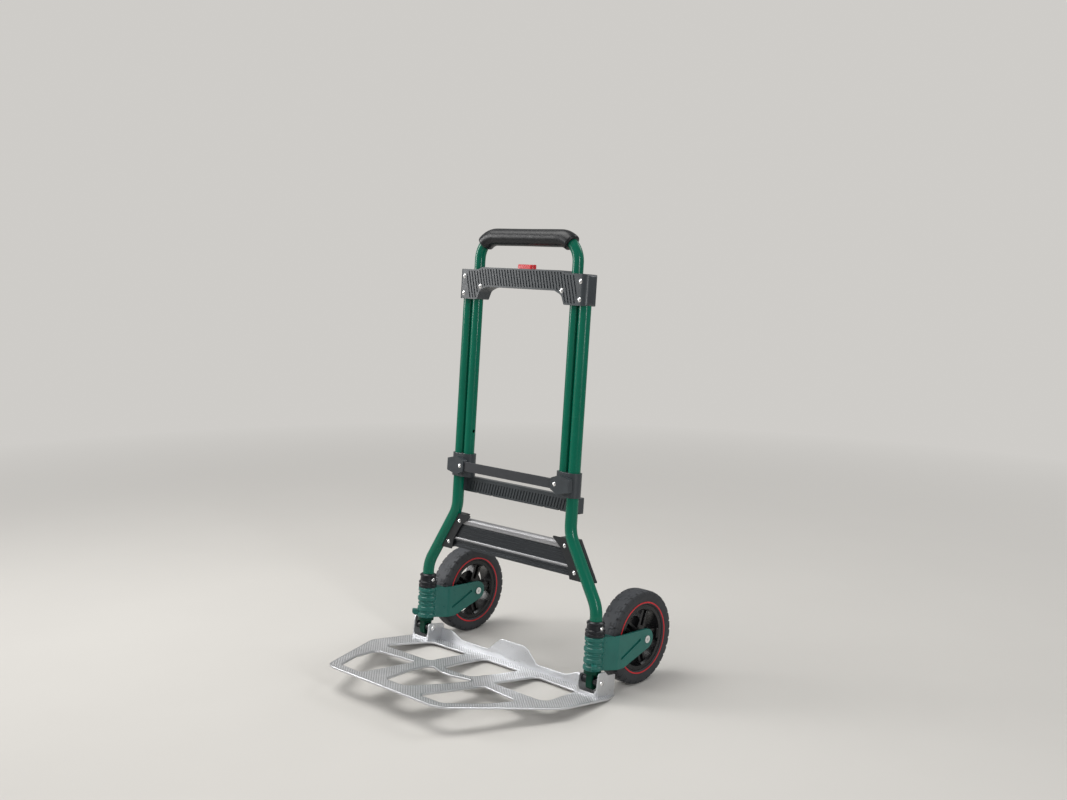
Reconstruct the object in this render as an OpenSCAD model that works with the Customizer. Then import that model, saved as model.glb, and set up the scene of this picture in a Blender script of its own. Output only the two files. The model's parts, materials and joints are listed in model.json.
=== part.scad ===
// Folding sack truck with a telescoping handle.
// The truck is drawn in its own upright frame: the tubes run along Z in the plane y = 0, X is its
// width and -Y its front. Every sub-part is then leaned back as the truck stands on its two wheels
// and the heel of its toe plate, so that z = 0 is the floor.

/* [Stance] */
// Angle that the frame leans back by when it stands
lean = 4.5; // [3.5:0.25:5]
// Angle that the toe plate's front is raised by, measured from square to the tubes
plate_pitch = 3.5; // [3:0.25:4]

/* [Fixed tubes] */
// Distance between the centre lines of the fixed tubes
frame_spacing = 288; // [284:1:296]
// Outer diameter of a fixed tube
frame_d = 22; // [21:0.5:23]
// Wall of both kinds of tube
tube_wall = 1.5; // [1:0.25:2.5]
// Distance between the centre lines of the tubes' lower ends
foot_spacing = 430; // [424:1:440]
// Height at which the lower bend's straight lines meet
splay_low_z = 160; // [157:1:165]
// How far above that the upper bend's straight lines meet
splay_rise = 119; // [114:1:126]
// Radius of the tubes' bends, at the centre line
splay_bend_r = 60; // [45:1:65]
// How far the fixed tubes rise above their upper bend
upper_length = 455; // [453:1:480]

/* [Handle] */
// Clear gap between a fixed tube and the handle's leg beside it
tube_clear = 1.5; // [1.5:0.25:3]
// Outer diameter of the handle tube
handle_d = 20; // [19:0.25:20.5]
// Radius of the handle's bends, at the centre line
handle_bend_r = 42; // [38:1:50]
// How far the pushed-in handle's top centre line stands above the bridge
handle_rise = 57; // [49:0.5:88]
// Gap left between the slider and the bridge when the handle is pulled right out
stop_gap = 3.5; // [2:0.5:60]
// Diameter of the foam grip
grip_d = 32; // [28:0.5:36]
// Angle that the foam reaches round the left bend
grip_wrap = 48; // [30:1:60]
// Angle that the foam reaches round the right bend
grip_wrap_right = 38; // [30:1:60]

/* [Bridge] */
// How far the bridge stands above the fixed tubes' top ends
bridge_cover = 7.5; // [6.5:0.5:15]
// Height of the bridge
bridge_h = 60; // [57:0.5:62]
// How far the arch rises above the bridge's lower ends
arch_rise = 24; // [21:0.5:25]
// Wall between a handle leg and the arch
arch_wall = 3.5; // [3.5:0.5:6]
// Front face of the bridge, ahead of the tubes' centre lines
bridge_front = 17; // [16.5:0.25:19]
// Back face of the bridge, behind the tubes' centre lines
bridge_back = 15.2; // [15:0.25:18]
// How far the bridge reaches out beyond the tubes' centre lines
bridge_end = 14; // [13:0.5:18]
// Pitch of the slanted grooves in the bridge's face
groove_pitch = 7.2; // [6:0.2:10]
// Depth of the slanted grooves
groove_depth = 1.3; // [0.6:0.1:2]

/* [Lock] */
// Width of the release button
button_w = 39; // [36:1:46]
// Depth of the release button, front to back
button_depth = 14; // [12:0.5:15]
// How far the button stands out of the bridge
button_proud = 8.5; // [7:0.25:10]
// How far the button is pressed, and how far each lock pin draws in
button_press = 5; // [4:0.25:5.5]
// Radius of a lock pin
lock_pin_r = 3; // [2:0.25:3.5]
// How far the lock pins lie below the bridge's top
lock_drop = 19.5; // [18.5:0.5:20.5]

/* [Slider] */
// Gap between the cross member and the slider brackets when the handle is pushed in
slider_gap = 1.5; // [1.5:0.5:8]
// Height of a slider bracket
slider_h = 44; // [40:1:46]
// Depth of a slider bracket on each side of the tubes' centre lines
slider_half_depth = 14; // [13.5:0.25:15]
// Width of the cap on a slider bracket
cap_w = 42; // [38:1:44]
// Height of that cap
cap_h = 35; // [30:1:38]
// Thickness of that cap
cap_t = 11; // [9:0.5:12]
// Height of the flat bar that joins the brackets
bar_h = 18; // [12:1:20]
// Thickness of the flat bar
bar_t = 2.8; // [2:0.1:4]

/* [Cross member] */
// How far the cross member's lower face lies above the upper bend's meeting point
cross_rise = 34.5; // [26:0.5:37]
// Height of the cross member
cross_h = 29; // [20:1:29]
// Thickness of the cross member behind the tubes
cross_t = 13; // [8:0.5:18]

/* [Panel] */
// How far the panel's upper edge lies below the upper bend's meeting point
panel_drop = 16; // [13:1:21]
// Height of the panel
panel_h = 59; // [54:1:62]
// Depth of the panel's extrusion
panel_t = 14; // [10:0.5:16]
// Wall of the panel's extrusion
panel_wall = 1.8; // [1.2:0.1:2.5]

/* [Toe plate] */
// Distance from the hinge line down to the plate's upper face
hinge_drop = 24.6; // [24:0.1:26]
// Thickness of the plate
plate_t = 4; // [3:0.25:5]
// How far the plate reaches out beyond each lower tube's centre line
plate_side = 34; // [28:1:37]
// Width of the plate's front edge before its corners are rounded
plate_front_w = 284; // [250:1:300]
// How far the plate reaches forward of the hinge line
plate_reach = 300; // [270:1:304]
// How far the plate's full width reaches forward of the hinge line
plate_shoulder = 108; // [95:1:120]
// How far the plate's back edge, where it rests on the floor, lies behind the hinge line
plate_heel = 27; // [26:0.5:29]
// How much further back the plate runs at each pair of ears
foot_run = 15; // [12:0.5:18]
// Height of the lip along the back edge, above the plate
lip_h = 12.5; // [10:0.5:15]
// Height of the hump in the middle of the lip, above the plate
hump_h = 39; // [34:0.5:42]
// Thickness of the ears and the lip
ear_t = 3.5; // [3:0.25:4]
// Clear distance between the two ears of a pair
ear_gap = 39; // [38:0.5:40]
// Radius of the hinge pins
hinge_pin_r = 4; // [3:0.25:5]

/* [Wheels] */
// Outer radius of a tyre
tyre_r = 85; // [78:0.5:85.5]
// Width of a tyre
tyre_w = 39; // [32:0.5:40]
// Height of a tyre's wall, from its seat on the rim to its tread
tyre_h = 25; // [22:0.5:30]
// How far the coloured line on a tyre's wall lies outside that seat
stripe_rise = 4.2; // [3.2:0.1:6]
// Width of that line
stripe_t = 2.4; // [1.4:0.2:2.8]
// Clear distance from a lower tube's centre line back to the tyre
wheel_back = 28; // [27:0.5:33]
// Radius of an axle
axle_r = 5; // [4:0.25:6]
// Number of spokes
spoke_count = 5; // [4:1:7]
// Number of tread blocks round a tyre
block_count = 32; // [16:1:36]

/* [Wheel arms] */
// Radius of the arm's sleeve round the lower tube
sleeve_r = 15.5; // [15:0.25:17]
// Height of the sleeve's lower face
sleeve_low_z = 51.5; // [51.3:0.1:53]
// Height of the sleeve
sleeve_h = 59.5; // [54.5:0.5:61.5]
// Distance between the inner faces of an arm's two cheeks
cheek_gap = 45; // [44:0.5:46]
// Thickness of a cheek
cheek_t = 5.5; // [4:0.25:5.75]
// Radius of a cheek's rounded end
cheek_r = 18.5; // [15:0.25:20]
// Height of the collar above the sleeve
collar_h = 27; // [22:0.5:29]
// Radius of the collar's wide foot
collar_r = 17.7; // [16:0.1:18]

/* [Hidden] */
$fn = 64;

// Fits: pieces of one body, turning and sliding pieces, and pieces that pass each other
fixed_gap = 0.05;
turn_gap = 0.08;
slide_gap = 0.3;
cut = 1;
bend_lap = 1;
bend_swell = 0.1;

frame_x = frame_spacing / 2;
foot_x = foot_spacing / 2;
frame_r = frame_d / 2;
handle_r = handle_d / 2;
handle_x = frame_x - frame_r - handle_r - tube_clear;
splay_top_z = splay_low_z + splay_rise;
frame_top_z = splay_top_z + upper_length;
panel_top_z = splay_top_z - panel_drop;
panel_low_z = panel_top_z - panel_h;
cross_z = splay_top_z + cross_rise;
slider_z = cross_z + cross_h + slider_gap;
bridge_top_z = frame_top_z + bridge_cover;
bridge_low_z = bridge_top_z - bridge_h;
arch_z = bridge_low_z + arch_rise;
arch_half = handle_x - handle_r - arch_wall;
lock_z = bridge_top_z - lock_drop;
handle_top_z = bridge_top_z + handle_rise;
handle_travel = bridge_low_z - slider_z - slider_h - stop_gap;
rim_r = tyre_r - tyre_h;
stripe_r = rim_r + stripe_rise;
axle_back = tyre_r + wheel_back;
sleeve_top_z = sleeve_low_z + sleeve_h;
splay = atan((foot_x - frame_x) / (splay_top_z - splay_low_z));
bend_run = splay_bend_r * tan(splay / 2);
splay_length = (splay_top_z - splay_low_z) / cos(splay) - 2 * bend_run;
axle_z = (tyre_r + axle_back * sin(lean)) / cos(lean);
heel_back = plate_heel * cos(plate_pitch) - (hinge_drop + plate_t) * sin(plate_pitch);
heel_down = plate_heel * sin(plate_pitch) + (hinge_drop + plate_t) * cos(plate_pitch);
hinge_z = heel_back * tan(lean) + heel_down;
toe_tilt = lean + plate_pitch;
stand_front = hinge_z * sin(lean) - plate_reach * cos(toe_tilt) - (hinge_drop + plate_t) * sin(toe_tilt);
stand_rear = axle_back * cos(lean) + axle_z * sin(lean) + tyre_r;
stand_y = -(stand_front + stand_rear) / 2;
handle_low_z = slider_z + 6;
hinge_stand = frame_r + 4.5;
slider_cap_x = (frame_x + handle_x) / 2 - 0.75;
cap_z = slider_z + slider_h / 2;
cap_front = slider_half_depth + cap_t;
bar_y = slider_half_depth + 7;
bar_end_x = slider_cap_x - 5.5;
cheek_out = cheek_gap / 2 + cheek_t;
wheel_gap = 3;
collar_z = sleeve_top_z + slide_gap;
button_top_z = bridge_top_z + button_proud;
button_h = 18.5;
button_foot_z = button_top_z - button_h;
cavity_low_z = lock_z - 8;
cavity_roof_z = bridge_top_z - 5;
cavity_half = arch_half - 4;
wedge_half = 6;
wedge_h = 9;
spring_half = 30;
spring_r = 3;

green = [0.02, 0.36, 0.22];
arm_green = [0.16, 0.40, 0.34];
dark_green = [0.03, 0.22, 0.15];
charcoal = [0.20, 0.20, 0.22];
black = [0.06, 0.06, 0.07];
silver = [0.75, 0.76, 0.78];
bright = [0.88, 0.88, 0.88];
red = [0.80, 0.08, 0.10];

// ---- Helpers ----

// Leans a piece back, as the whole truck stands, and sets the truck's middle over the origin
module leaned() {
    translate([0, stand_y, 0]) rotate([-lean, 0, 0]) children();
}

// Draws a right-hand piece at its left-hand place
module on_left() {
    mirror([1, 0, 0]) children();
}

// A copy on each side
module both_sides() {
    children();
    mirror([1, 0, 0]) children();
}

// A rod along Z, Y or X
module z_rod(x, y, z0, z1, r) {
    translate([x, y, z0]) cylinder(h = z1 - z0, r = r);
}

module y_rod(x, y0, y1, z, r) {
    translate([x, y0, z]) rotate([-90, 0, 0]) cylinder(h = y1 - y0, r = r);
}

module x_rod(x0, x1, y, z, r) {
    translate([x0, y, z]) rotate([0, 90, 0]) cylinder(h = x1 - x0, r = r);
}

// A box between two corners
module block(low, high) {
    translate(low) cube(high - low);
}

// Extrudes an outline drawn in X and Z from y0 back to y1
module facing_front(y0, y1) {
    translate([0, y1, 0]) rotate([90, 0, 0]) linear_extrude(height = y1 - y0) children();
}

// Extrudes an outline drawn in Y and Z from x0 to x1
module facing_side(x0, x1) {
    translate([x0, 0, 0]) rotate([90, 0, 90]) linear_extrude(height = x1 - x0) children();
}

// Turns a profile drawn as radius and length round an axis along X
module turned_on_x(x, y, z) {
    translate([x, y, z]) rotate([0, 90, 0]) rotate_extrude($fn = 96) children();
}

// One rounded corner of an outline: p is its point, a and b its neighbours, r its radius
function corner(a, p, b, r, n) =
    let (
        u = (a - p) / norm(a - p),
        v = (b - p) / norm(b - p),
        half = acos(u * v) / 2,
        centre = p + (u + v) / norm(u + v) * r / sin(half),
        first = p + u * r / tan(half) - centre,
        last = p + v * r / tan(half) - centre,
        start = atan2(first.y, first.x),
        turn = (atan2(last.y, last.x) - start + 540) % 360 - 180
    )
    [for (i = [0:n]) centre + r * [cos(start + turn * i / n), sin(start + turn * i / n)]];

// An outline whose points are [x, y, corner radius]
function rounded(path, n = 6) =
    let (count = len(path), at = function (i) [path[i].x, path[i].y])
    [
        for (i = [0:count - 1])
            each path[i][2] == 0
                ? [at(i)]
                : corner(at((i + count - 1) % count), at(i), at((i + 1) % count), path[i][2], n)
    ];

// Both halves of an outline given by its right half, from its bottom to its top
function both_halves(path) =
    concat(path, [for (i = [len(path) - 1:-1:0]) [-path[i].x, path[i].y, path[i][2]]]);

// A round head with a domed top, pointing to -Y, and its shank
module front_rivet(x, y, z, head_r, shank_r, shank) {
    translate([x, y, z]) rotate([90, 0, 0]) rotate_extrude() dome(head_r);
    y_rod(x, y - 0.01, y + shank, z, shank_r);
}

// Half the profile of a domed head: flat below, an arc above
module dome(r) {
    ball = r * 1.4;
    sink = sqrt(ball * ball - r * r);
    intersection() {
        translate([0, -sink]) circle(ball);
        square([r, ball]);
    }
}

// ---- Fixed frame ----

// The right-hand tube's course as a solid rod, run past both of its ends by extra. The bends are a
// touch fuller than the straight stretches, which run a little way into them
module frame_course(r, low_z, top_z, extra = 0) {
    z_rod(foot_x, 0, low_z - extra, splay_low_z - bend_run + bend_lap, r);
    translate([foot_x - splay_bend_r, 0, splay_low_z - bend_run]) splay_bend(r);
    translate([foot_x - splay_bend_r, 0, splay_low_z - bend_run])
        rotate([0, -splay, 0])
        translate([splay_bend_r, 0, -bend_lap])
        cylinder(h = splay_length + 2 * bend_lap, r = r);
    translate([frame_x + splay_bend_r, 0, splay_top_z + bend_run]) rotate([0, 180, 0]) splay_bend(r);
    z_rod(frame_x, 0, splay_top_z + bend_run - bend_lap, top_z + extra, r);
}

// One of the tube's two bends, rising from its start on the X axis
module splay_bend(r) {
    rotate([90, 0, 0])
        rotate_extrude(angle = splay)
        translate([splay_bend_r, 0])
        circle(r + bend_swell);
}

foot_flange_z = sleeve_low_z - slide_gap;

module frame_tube() {
    difference() {
        frame_course(frame_r, foot_flange_z, frame_top_z);
        frame_course(frame_r - tube_wall, foot_flange_z, frame_top_z, cut);
    }
}

module frame_tube_left() {
    color(green) leaned() on_left() frame_tube();
}

module frame_tube_right() {
    color(green) leaned() frame_tube();
}

// ---- Bridge ----

bridge_half = frame_x + bridge_end;
shoulder_drop = 4.5;
face_rim = 3;
face_strip = 21;
groove_slant = 15;

// Outline of the bridge seen from the front: raised middle, deep ends and the arch between them.
// The rim is how far inside that outline it runs, and the strip how much it leaves at each end
module bridge_outline(rim = 0, strip = 0) {
    polygon(rounded(both_halves([
        [arch_half - 24, arch_z + rim, 16],
        [arch_half - 7 + rim, arch_z - 7 + rim, 12],
        [arch_half + rim, bridge_low_z + rim, 3],
        [bridge_half - strip, bridge_low_z + rim, 6],
        [bridge_half - strip, bridge_top_z - shoulder_drop - rim, 7],
        [arch_half, bridge_top_z - shoulder_drop - rim, 6],
        [arch_half - 9, bridge_top_z - rim, 6]
    ])));
}

// Plan of the bridge with its rounded ends
module bridge_plan() {
    polygon(rounded(both_halves([
        [bridge_half, -bridge_front, 12],
        [bridge_half, bridge_back, 7]
    ])));
}

module bridge_body(y0, y1) {
    intersection() {
        facing_front(y0, y1) bridge_outline();
        translate([0, 0, bridge_low_z - cut])
            linear_extrude(height = bridge_top_z - bridge_low_z + 2 * cut)
            bridge_plan();
    }
}

// Everything that passes through the bridge or moves inside it
module bridge_room() {
    both_sides() {
        z_rod(frame_x, 0, bridge_low_z - cut, frame_top_z + fixed_gap, frame_r + fixed_gap);
        z_rod(handle_x, 0, bridge_low_z - cut, bridge_top_z + cut, handle_r + slide_gap);
        x_rod(cavity_half, handle_x, 0, lock_z, lock_pin_r + slide_gap);
    }
    block([-cavity_half, -10, cavity_low_z], [cavity_half, 10, cavity_roof_z]);
    block(
        [-button_w / 2 - slide_gap, -button_depth / 2 - slide_gap, cavity_roof_z - cut],
        [button_w / 2 + slide_gap, button_depth / 2 + slide_gap, bridge_top_z + cut]
    );
}

// Slanted grooves over the bridge's face, inside a plain rim
module bridge_grooves() {
    field = bridge_half - face_strip;
    count = floor(2 * field / groove_pitch);
    intersection() {
        facing_front(-bridge_front - cut, -bridge_front + groove_depth) bridge_outline(face_rim, face_strip);
        for (i = [0:count - 1]) {
            translate([(i - (count - 1) / 2) * groove_pitch, -bridge_front, (bridge_low_z + bridge_top_z) / 2])
                rotate([0, -groove_slant, 0])
                cube([groove_pitch * 0.4, 6, 2 * (bridge_top_z - bridge_low_z)], center = true);
        }
    }
}

bridge_rivet_places = [
    [frame_x, bridge_top_z - 18],
    [frame_x, bridge_low_z + 10.2],
    [arch_half - 7, bridge_low_z + 24.2]
];
bridge_screw_places = [[arch_half - 7, bridge_low_z + 29], [frame_x + 1, bridge_low_z + 14], [52, arch_z + 5]];
rivet_shank_r = 1.9;
rivet_shank = 5;

module bridge_front_shell() {
    color(charcoal) leaned() difference() {
        bridge_body(-bridge_front, 0);
        bridge_room();
        difference() {
            bridge_grooves();
            for (p = bridge_rivet_places) {
                both_sides() y_rod(p.x, -bridge_front - 3, 0, p.y, 6);
            }
        }
        for (p = bridge_rivet_places) {
            both_sides()
                y_rod(p.x, -bridge_front - cut, -bridge_front + rivet_shank + 0.2, p.y, rivet_shank_r + fixed_gap);
        }
    }
}

module bridge_rear_shell() {
    color(charcoal) leaned() difference() {
        bridge_body(0, bridge_back);
        bridge_room();
        for (p = bridge_screw_places) {
            both_sides() y_rod(p.x, bridge_back - 3, bridge_back + cut, p.y, 3.6);
        }
    }
}

module bridge_rivets() {
    color(bright) leaned() both_sides() for (p = bridge_rivet_places) {
        front_rivet(p.x, -bridge_front, p.y, 4.2, rivet_shank_r, rivet_shank);
    }
}

// Screws sunk in the back of the bridge
module bridge_screws() {
    color(bright) leaned() both_sides() for (p = bridge_screw_places) {
        difference() {
            y_rod(p.x, bridge_back - 3, bridge_back - 0.8, p.y, 3.5);
            y_rod(p.x, bridge_back - 2.2, bridge_back, p.y, 1.5, $fn = 6);
        }
    }
}

// ---- Lock inside the bridge ----

// The button: its cap, the flange that keeps it in and a 45 degree wedge on each side of the spring
// The button's rounded corners; its top is crowned from front to back
button_corner = 5.8;

module release_button() {
    color(red) leaned() {
        intersection() {
            translate([0, 0, button_foot_z]) linear_extrude(height = button_h + 1) polygon(rounded([
                [-button_w / 2, -button_depth / 2, button_corner],
                [button_w / 2, -button_depth / 2, button_corner],
                [button_w / 2, button_depth / 2, button_corner],
                [-button_w / 2, button_depth / 2, button_corner]
            ]));
            x_rod(-button_w, button_w, 0, button_foot_z, button_h);
        }
        block([-button_w / 2 - 2.5, -9.5, button_foot_z], [button_w / 2 + 2.5, 9.5, button_foot_z + 3]);
        wedge_half_solid();
        rotate([0, 0, 180]) wedge_half_solid();
    }
}

// The wedge in front of the spring: upright on the left, sloping on the right
module wedge_half_solid() {
    facing_front(-9, -4) polygon([
        [-wedge_half, button_foot_z + 1],
        [-wedge_half, button_foot_z - wedge_h],
        [wedge_half - wedge_h, button_foot_z - wedge_h],
        [wedge_half, button_foot_z],
        [wedge_half, button_foot_z + 1]
    ]);
}

// One lock slide: its pin on the left, its body, and the ramp that the front wedge pushes to the right
module lock_slide() {
    ramp_gap = 0.3;
    ramp_top = button_foot_z - button_press - 0.5;
    block_end = handle_x - handle_r - 14;
    difference() {
        block([-block_end, -9, cavity_low_z + slide_gap], [-24, 9, cavity_low_z + 11.5]);
        x_rod(-spring_half - button_press - 1, -24 + cut, 0, lock_z, spring_r + slide_gap);
    }
    block([-25, -9, cavity_low_z + slide_gap], [13, -4, cavity_low_z + 3]);
    facing_front(-9, -4) polygon([
        [wedge_half - wedge_h + ramp_gap, cavity_low_z + 2],
        [wedge_half - wedge_h + ramp_gap, button_foot_z - wedge_h],
        [ramp_top - button_foot_z + wedge_half + ramp_gap, ramp_top],
        [13, ramp_top],
        [13, cavity_low_z + 2]
    ]);
    x_rod(-handle_x + handle_r + slide_gap, -block_end + 1, 0, lock_z, lock_pin_r);
}

module lock_slide_left() {
    color(bright) leaned() lock_slide();
}

module lock_slide_right() {
    color(bright) leaned() rotate([0, 0, 180]) lock_slide();
}

// The spring whose ends push the two slides apart, shown as the sleeve of space that its coil fills
module lock_spring() {
    color(silver) leaned() difference() {
        x_rod(-spring_half, spring_half, 0, lock_z, spring_r);
        x_rod(-spring_half - cut, spring_half + cut, 0, lock_z, spring_r - 1);
    }
}

// ---- Cross member ----

cross_front = frame_r + 0.6;
cross_half = frame_x + 6;

module cross_member() {
    saddle = frame_x - handle_x - handle_r;
    color(charcoal) leaned() difference() {
        union() {
            facing_front(cross_front, cross_front + cross_t) polygon(rounded([
                [-cross_half, cross_z, 1.5],
                [cross_half, cross_z, 1.5],
                [cross_half, cross_z + cross_h, 1.5],
                [-cross_half, cross_z + cross_h, 1.5]
            ]));
            both_sides() block(
                [frame_x - saddle + 1, 2, cross_z + 3],
                [cross_half, cross_front + cut, cross_z + cross_h - 3]
            );
        }
        both_sides() z_rod(frame_x, 0, cross_z - cut, cross_z + cross_h + cut, frame_r + fixed_gap);
        cross_grooves();
        both_sides() y_rod(frame_x, cross_front + cross_t - 3, cross_front + cross_t + cut, cross_z + cross_h / 2, 4);
    }
}

// Slanted grooves across the cross member's face, and four notches in its lower edge
module cross_grooves() {
    field = frame_x - 16;
    count = floor(2 * field / groove_pitch);
    for (i = [0:count - 1]) {
        translate([(i - (count - 1) / 2) * groove_pitch, cross_front, cross_z + cross_h / 2 - 1.4])
            rotate([0, groove_slant, 0])
            cube([groove_pitch * 0.4, 2 * groove_depth, cross_h - 9.5], center = true);
    }
    both_sides() for (x = [handle_x - 55.5, handle_x - 17.5]) {
        block([x - 2.5, cross_front - cut, cross_z - cut], [x + 2.5, cross_front + 5, cross_z + 3]);
    }
}

module cross_member_screws() {
    color(bright) leaned() both_sides() difference() {
        y_rod(frame_x, cross_front + cross_t - 3, cross_front + cross_t - 0.6, cross_z + cross_h / 2, 3.9);
        y_rod(frame_x, cross_front + cross_t - 2, cross_front + cross_t, cross_z + cross_h / 2, 1.6, $fn = 6);
    }
}

// ---- Panel between the splayed tubes ----

// The tube's centre line at a height, on its splayed stretch
function splay_x(z) = frame_x + (splay_top_z - z) * tan(splay);

panel_front = -1;
panel_back = panel_front + panel_t;
panel_inset = 29;
panel_end_gap = 1;

// Outline of the panel seen from the front: its ends lie along the tubes
module panel_outline() {
    low = splay_x(panel_low_z) - panel_inset;
    top = splay_x(panel_top_z) - panel_inset;
    polygon([
        [-low, panel_low_z - cut],
        [low, panel_low_z - cut],
        [top, panel_top_z + cut],
        [-top, panel_top_z + cut]
    ]);
}

// The extrusion's section, drawn in Y and Z: a rounded upper rail, the flat, a bead and a stepped lip
module panel_section() {
    rail = 5.5;
    bead_z = panel_low_z + 17;
    polygon(rounded([
        [panel_front + 2, panel_low_z, 1],
        [panel_back, panel_low_z, 2],
        [panel_back, panel_top_z, 5],
        [panel_front, panel_top_z, rail],
        [panel_front, panel_top_z - 2 * rail, 1],
        [panel_front + 1.5, panel_top_z - 2 * rail - 1, 0],
        [panel_front + 1.5, bead_z + 2, 0],
        [panel_front + 2, panel_low_z + 12, 0],
        [panel_front + 4, panel_low_z + 10, 0],
        [panel_front + 4, panel_low_z + 6, 0],
        [panel_front + 2, panel_low_z + 5, 0]
    ]));
    translate([panel_front + 2.2, bead_z]) circle(2.4);
}

module panel() {
    room = panel_wall + 4;
    color(black) leaned() intersection() {
        facing_front(panel_front - cut, panel_back + cut) panel_outline();
        difference() {
            facing_side(-splay_x(panel_low_z), splay_x(panel_low_z)) panel_section();
            block(
                [-splay_x(panel_low_z) - cut, panel_front + room, panel_low_z + panel_wall],
                [splay_x(panel_low_z) + cut, panel_back - panel_wall, panel_top_z - panel_wall - 3]
            );
        }
    }
}

panel_rivet_places = [
    [splay_x(panel_top_z - 7) - 23.5, panel_top_z - 7],
    [splay_x(panel_low_z + 8) - 23.5, panel_low_z + 8]
];
cap_low_z = panel_low_z - 5;
panel_cap_top_z = panel_top_z + 7;
cap_y = panel_front - 2;

// The cap: a plate with a hollowed edge over the panel's end, a filler beside the tube and a flange
// behind the tube
module panel_cap() {
    low = splay_x(cap_low_z);
    top = splay_x(panel_cap_top_z);
    difference() {
        union() {
            facing_front(cap_y, panel_front - 0.2) polygon(rounded([
                [low - 41, cap_low_z, 2],
                [low - 12, cap_low_z, 2],
                [top - 12, panel_cap_top_z, 2],
                [top - 47, panel_cap_top_z, 2],
                [splay_x(panel_top_z - 14) - 33, panel_top_z - 14, 40],
                [splay_x(panel_low_z + 14) - 33, panel_low_z + 14, 40]
            ]));
            facing_front(panel_front - 0.4, panel_back + 1) polygon([
                [low - panel_inset + panel_end_gap, cap_low_z],
                [low - 1, cap_low_z],
                [top - 1, panel_cap_top_z],
                [top - panel_inset + panel_end_gap, panel_cap_top_z]
            ]);
            facing_front(frame_r - 2, panel_back + 3) polygon(rounded([
                [low - 30, cap_low_z, 2],
                [low + 9, cap_low_z, 2],
                [top + 9, panel_cap_top_z, 2],
                [top - 22, panel_cap_top_z, 2]
            ]));
        }
        frame_course(frame_r + fixed_gap, foot_flange_z, frame_top_z);
        facing_front(cap_y - cut, 0) polygon([
            [low - 12, cap_low_z - cut],
            [low + 30, cap_low_z - cut],
            [top + 30, panel_cap_top_z + cut],
            [top - 12, panel_cap_top_z + cut]
        ]);
        for (p = panel_rivet_places) {
            y_rod(p.x, cap_y - cut, cap_y + rivet_shank + 0.2, p.y, rivet_shank_r + fixed_gap);
        }
    }
}

module panel_cap_left() {
    color(charcoal) leaned() on_left() panel_cap();
}

module panel_cap_right() {
    color(charcoal) leaned() panel_cap();
}

module panel_rivets() {
    color(bright) leaned() both_sides() for (p = panel_rivet_places) {
        front_rivet(p.x, cap_y, p.y, 3.8, rivet_shank_r, rivet_shank);
    }
}

// ---- Collar and foot of the lower tube ----

module collar() {
    top = collar_z + collar_h;
    rivet_z = collar_z + 14;
    difference() {
        translate([foot_x, 0, 0]) rotate_extrude() polygon(rounded([
            [frame_r + fixed_gap, collar_z, 0],
            [collar_r, collar_z, 1],
            [collar_r, collar_z + 5, 1],
            [collar_r - 1, collar_z + 5.5, 0],
            [collar_r - 1, collar_z + 7.5, 0],
            [collar_r, collar_z + 8, 1],
            [collar_r, collar_z + 11, 1],
            [collar_r - 2.2, collar_z + 12.5, 1],
            [collar_r - 2.8, top - 6, 0],
            [collar_r - 1.6, top - 5, 1],
            [collar_r - 1.6, top - 2.5, 1],
            [frame_r + 2, top, 1],
            [frame_r + fixed_gap, top, 0]
        ], 4));
        x_rod(foot_x - 30, foot_x + 30, 0, rivet_z + 1.5, rivet_shank_r + fixed_gap);
    }
}

module collar_left() {
    color(black) leaned() on_left() collar();
}

module collar_right() {
    color(black) leaned() collar();
}

// A rivet on each side of each collar
module collar_rivets() {
    z = collar_z + 15.5;
    out = collar_r - 2.6;
    color(bright) leaned() both_sides() for (side = [-1, 1]) {
        translate([foot_x + side * out, 0, z]) rotate([0, side * 90, 0]) rotate_extrude() dome(3.8);
        translate([foot_x + side * (frame_r + 0.1), 0, z])
            rotate([0, side * 90, 0])
            cylinder(h = out - frame_r, r = rivet_shank_r);
    }
}

foot_half = 6.5;
foot_reach = 15;
bush_r = 7.2;

// Plug in the tube's lower end, with the tongue that the hinge pin passes through
module foot_block() {
    difference() {
        union() {
            z_rod(foot_x, 0, foot_flange_z - 1, foot_flange_z + 40, frame_r - tube_wall - fixed_gap);
            z_rod(foot_x, 0, hinge_z + 13.5, foot_flange_z, hinge_stand);
            facing_side(foot_x - foot_half, foot_x + foot_half) polygon(rounded([
                [-9, hinge_z - foot_reach, 7],
                [9, hinge_z - foot_reach, 7],
                [9, foot_flange_z - 2, 0],
                [-9, foot_flange_z - 2, 0]
            ]));
        }
        x_rod(foot_x - foot_half - cut, foot_x + foot_half + cut, 0, hinge_z, hinge_pin_r + turn_gap);
    }
}

module foot_block_left() {
    color(dark_green) leaned() on_left() foot_block();
}

module foot_block_right() {
    color(dark_green) leaned() foot_block();
}

// Bushes on each side of each foot
module hinge_bushes() {
    thick = ear_gap / 2 - foot_half - slide_gap;
    color(black) leaned() both_sides() for (side = [-1, 1]) {
        middle = foot_x + side * (foot_half + thick / 2);
        difference() {
            x_rod(middle - thick / 2, middle + thick / 2, 0, hinge_z, bush_r);
            x_rod(middle - thick, middle + thick, 0, hinge_z, hinge_pin_r + turn_gap);
        }
    }
}

// ---- Handle ----

// The handle's course as a solid: two legs, two bends and the top
module handle_course(r, extra = 0) {
    both_sides() {
        z_rod(handle_x, 0, handle_low_z - extra, handle_top_z - handle_bend_r, r);
        handle_bend(r, 90);
    }
    x_rod(-handle_x + handle_bend_r, handle_x - handle_bend_r, 0, handle_top_z, r);
}

// The right-hand bend, from the top down through an angle
module handle_bend(r, angle) {
    translate([handle_x - handle_bend_r, 0, handle_top_z - handle_bend_r])
        rotate([0, -90, 0])
        rotate([-90, 0, 0])
        rotate_extrude(angle = angle)
        translate([handle_bend_r, 0])
        circle(r);
}

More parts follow.
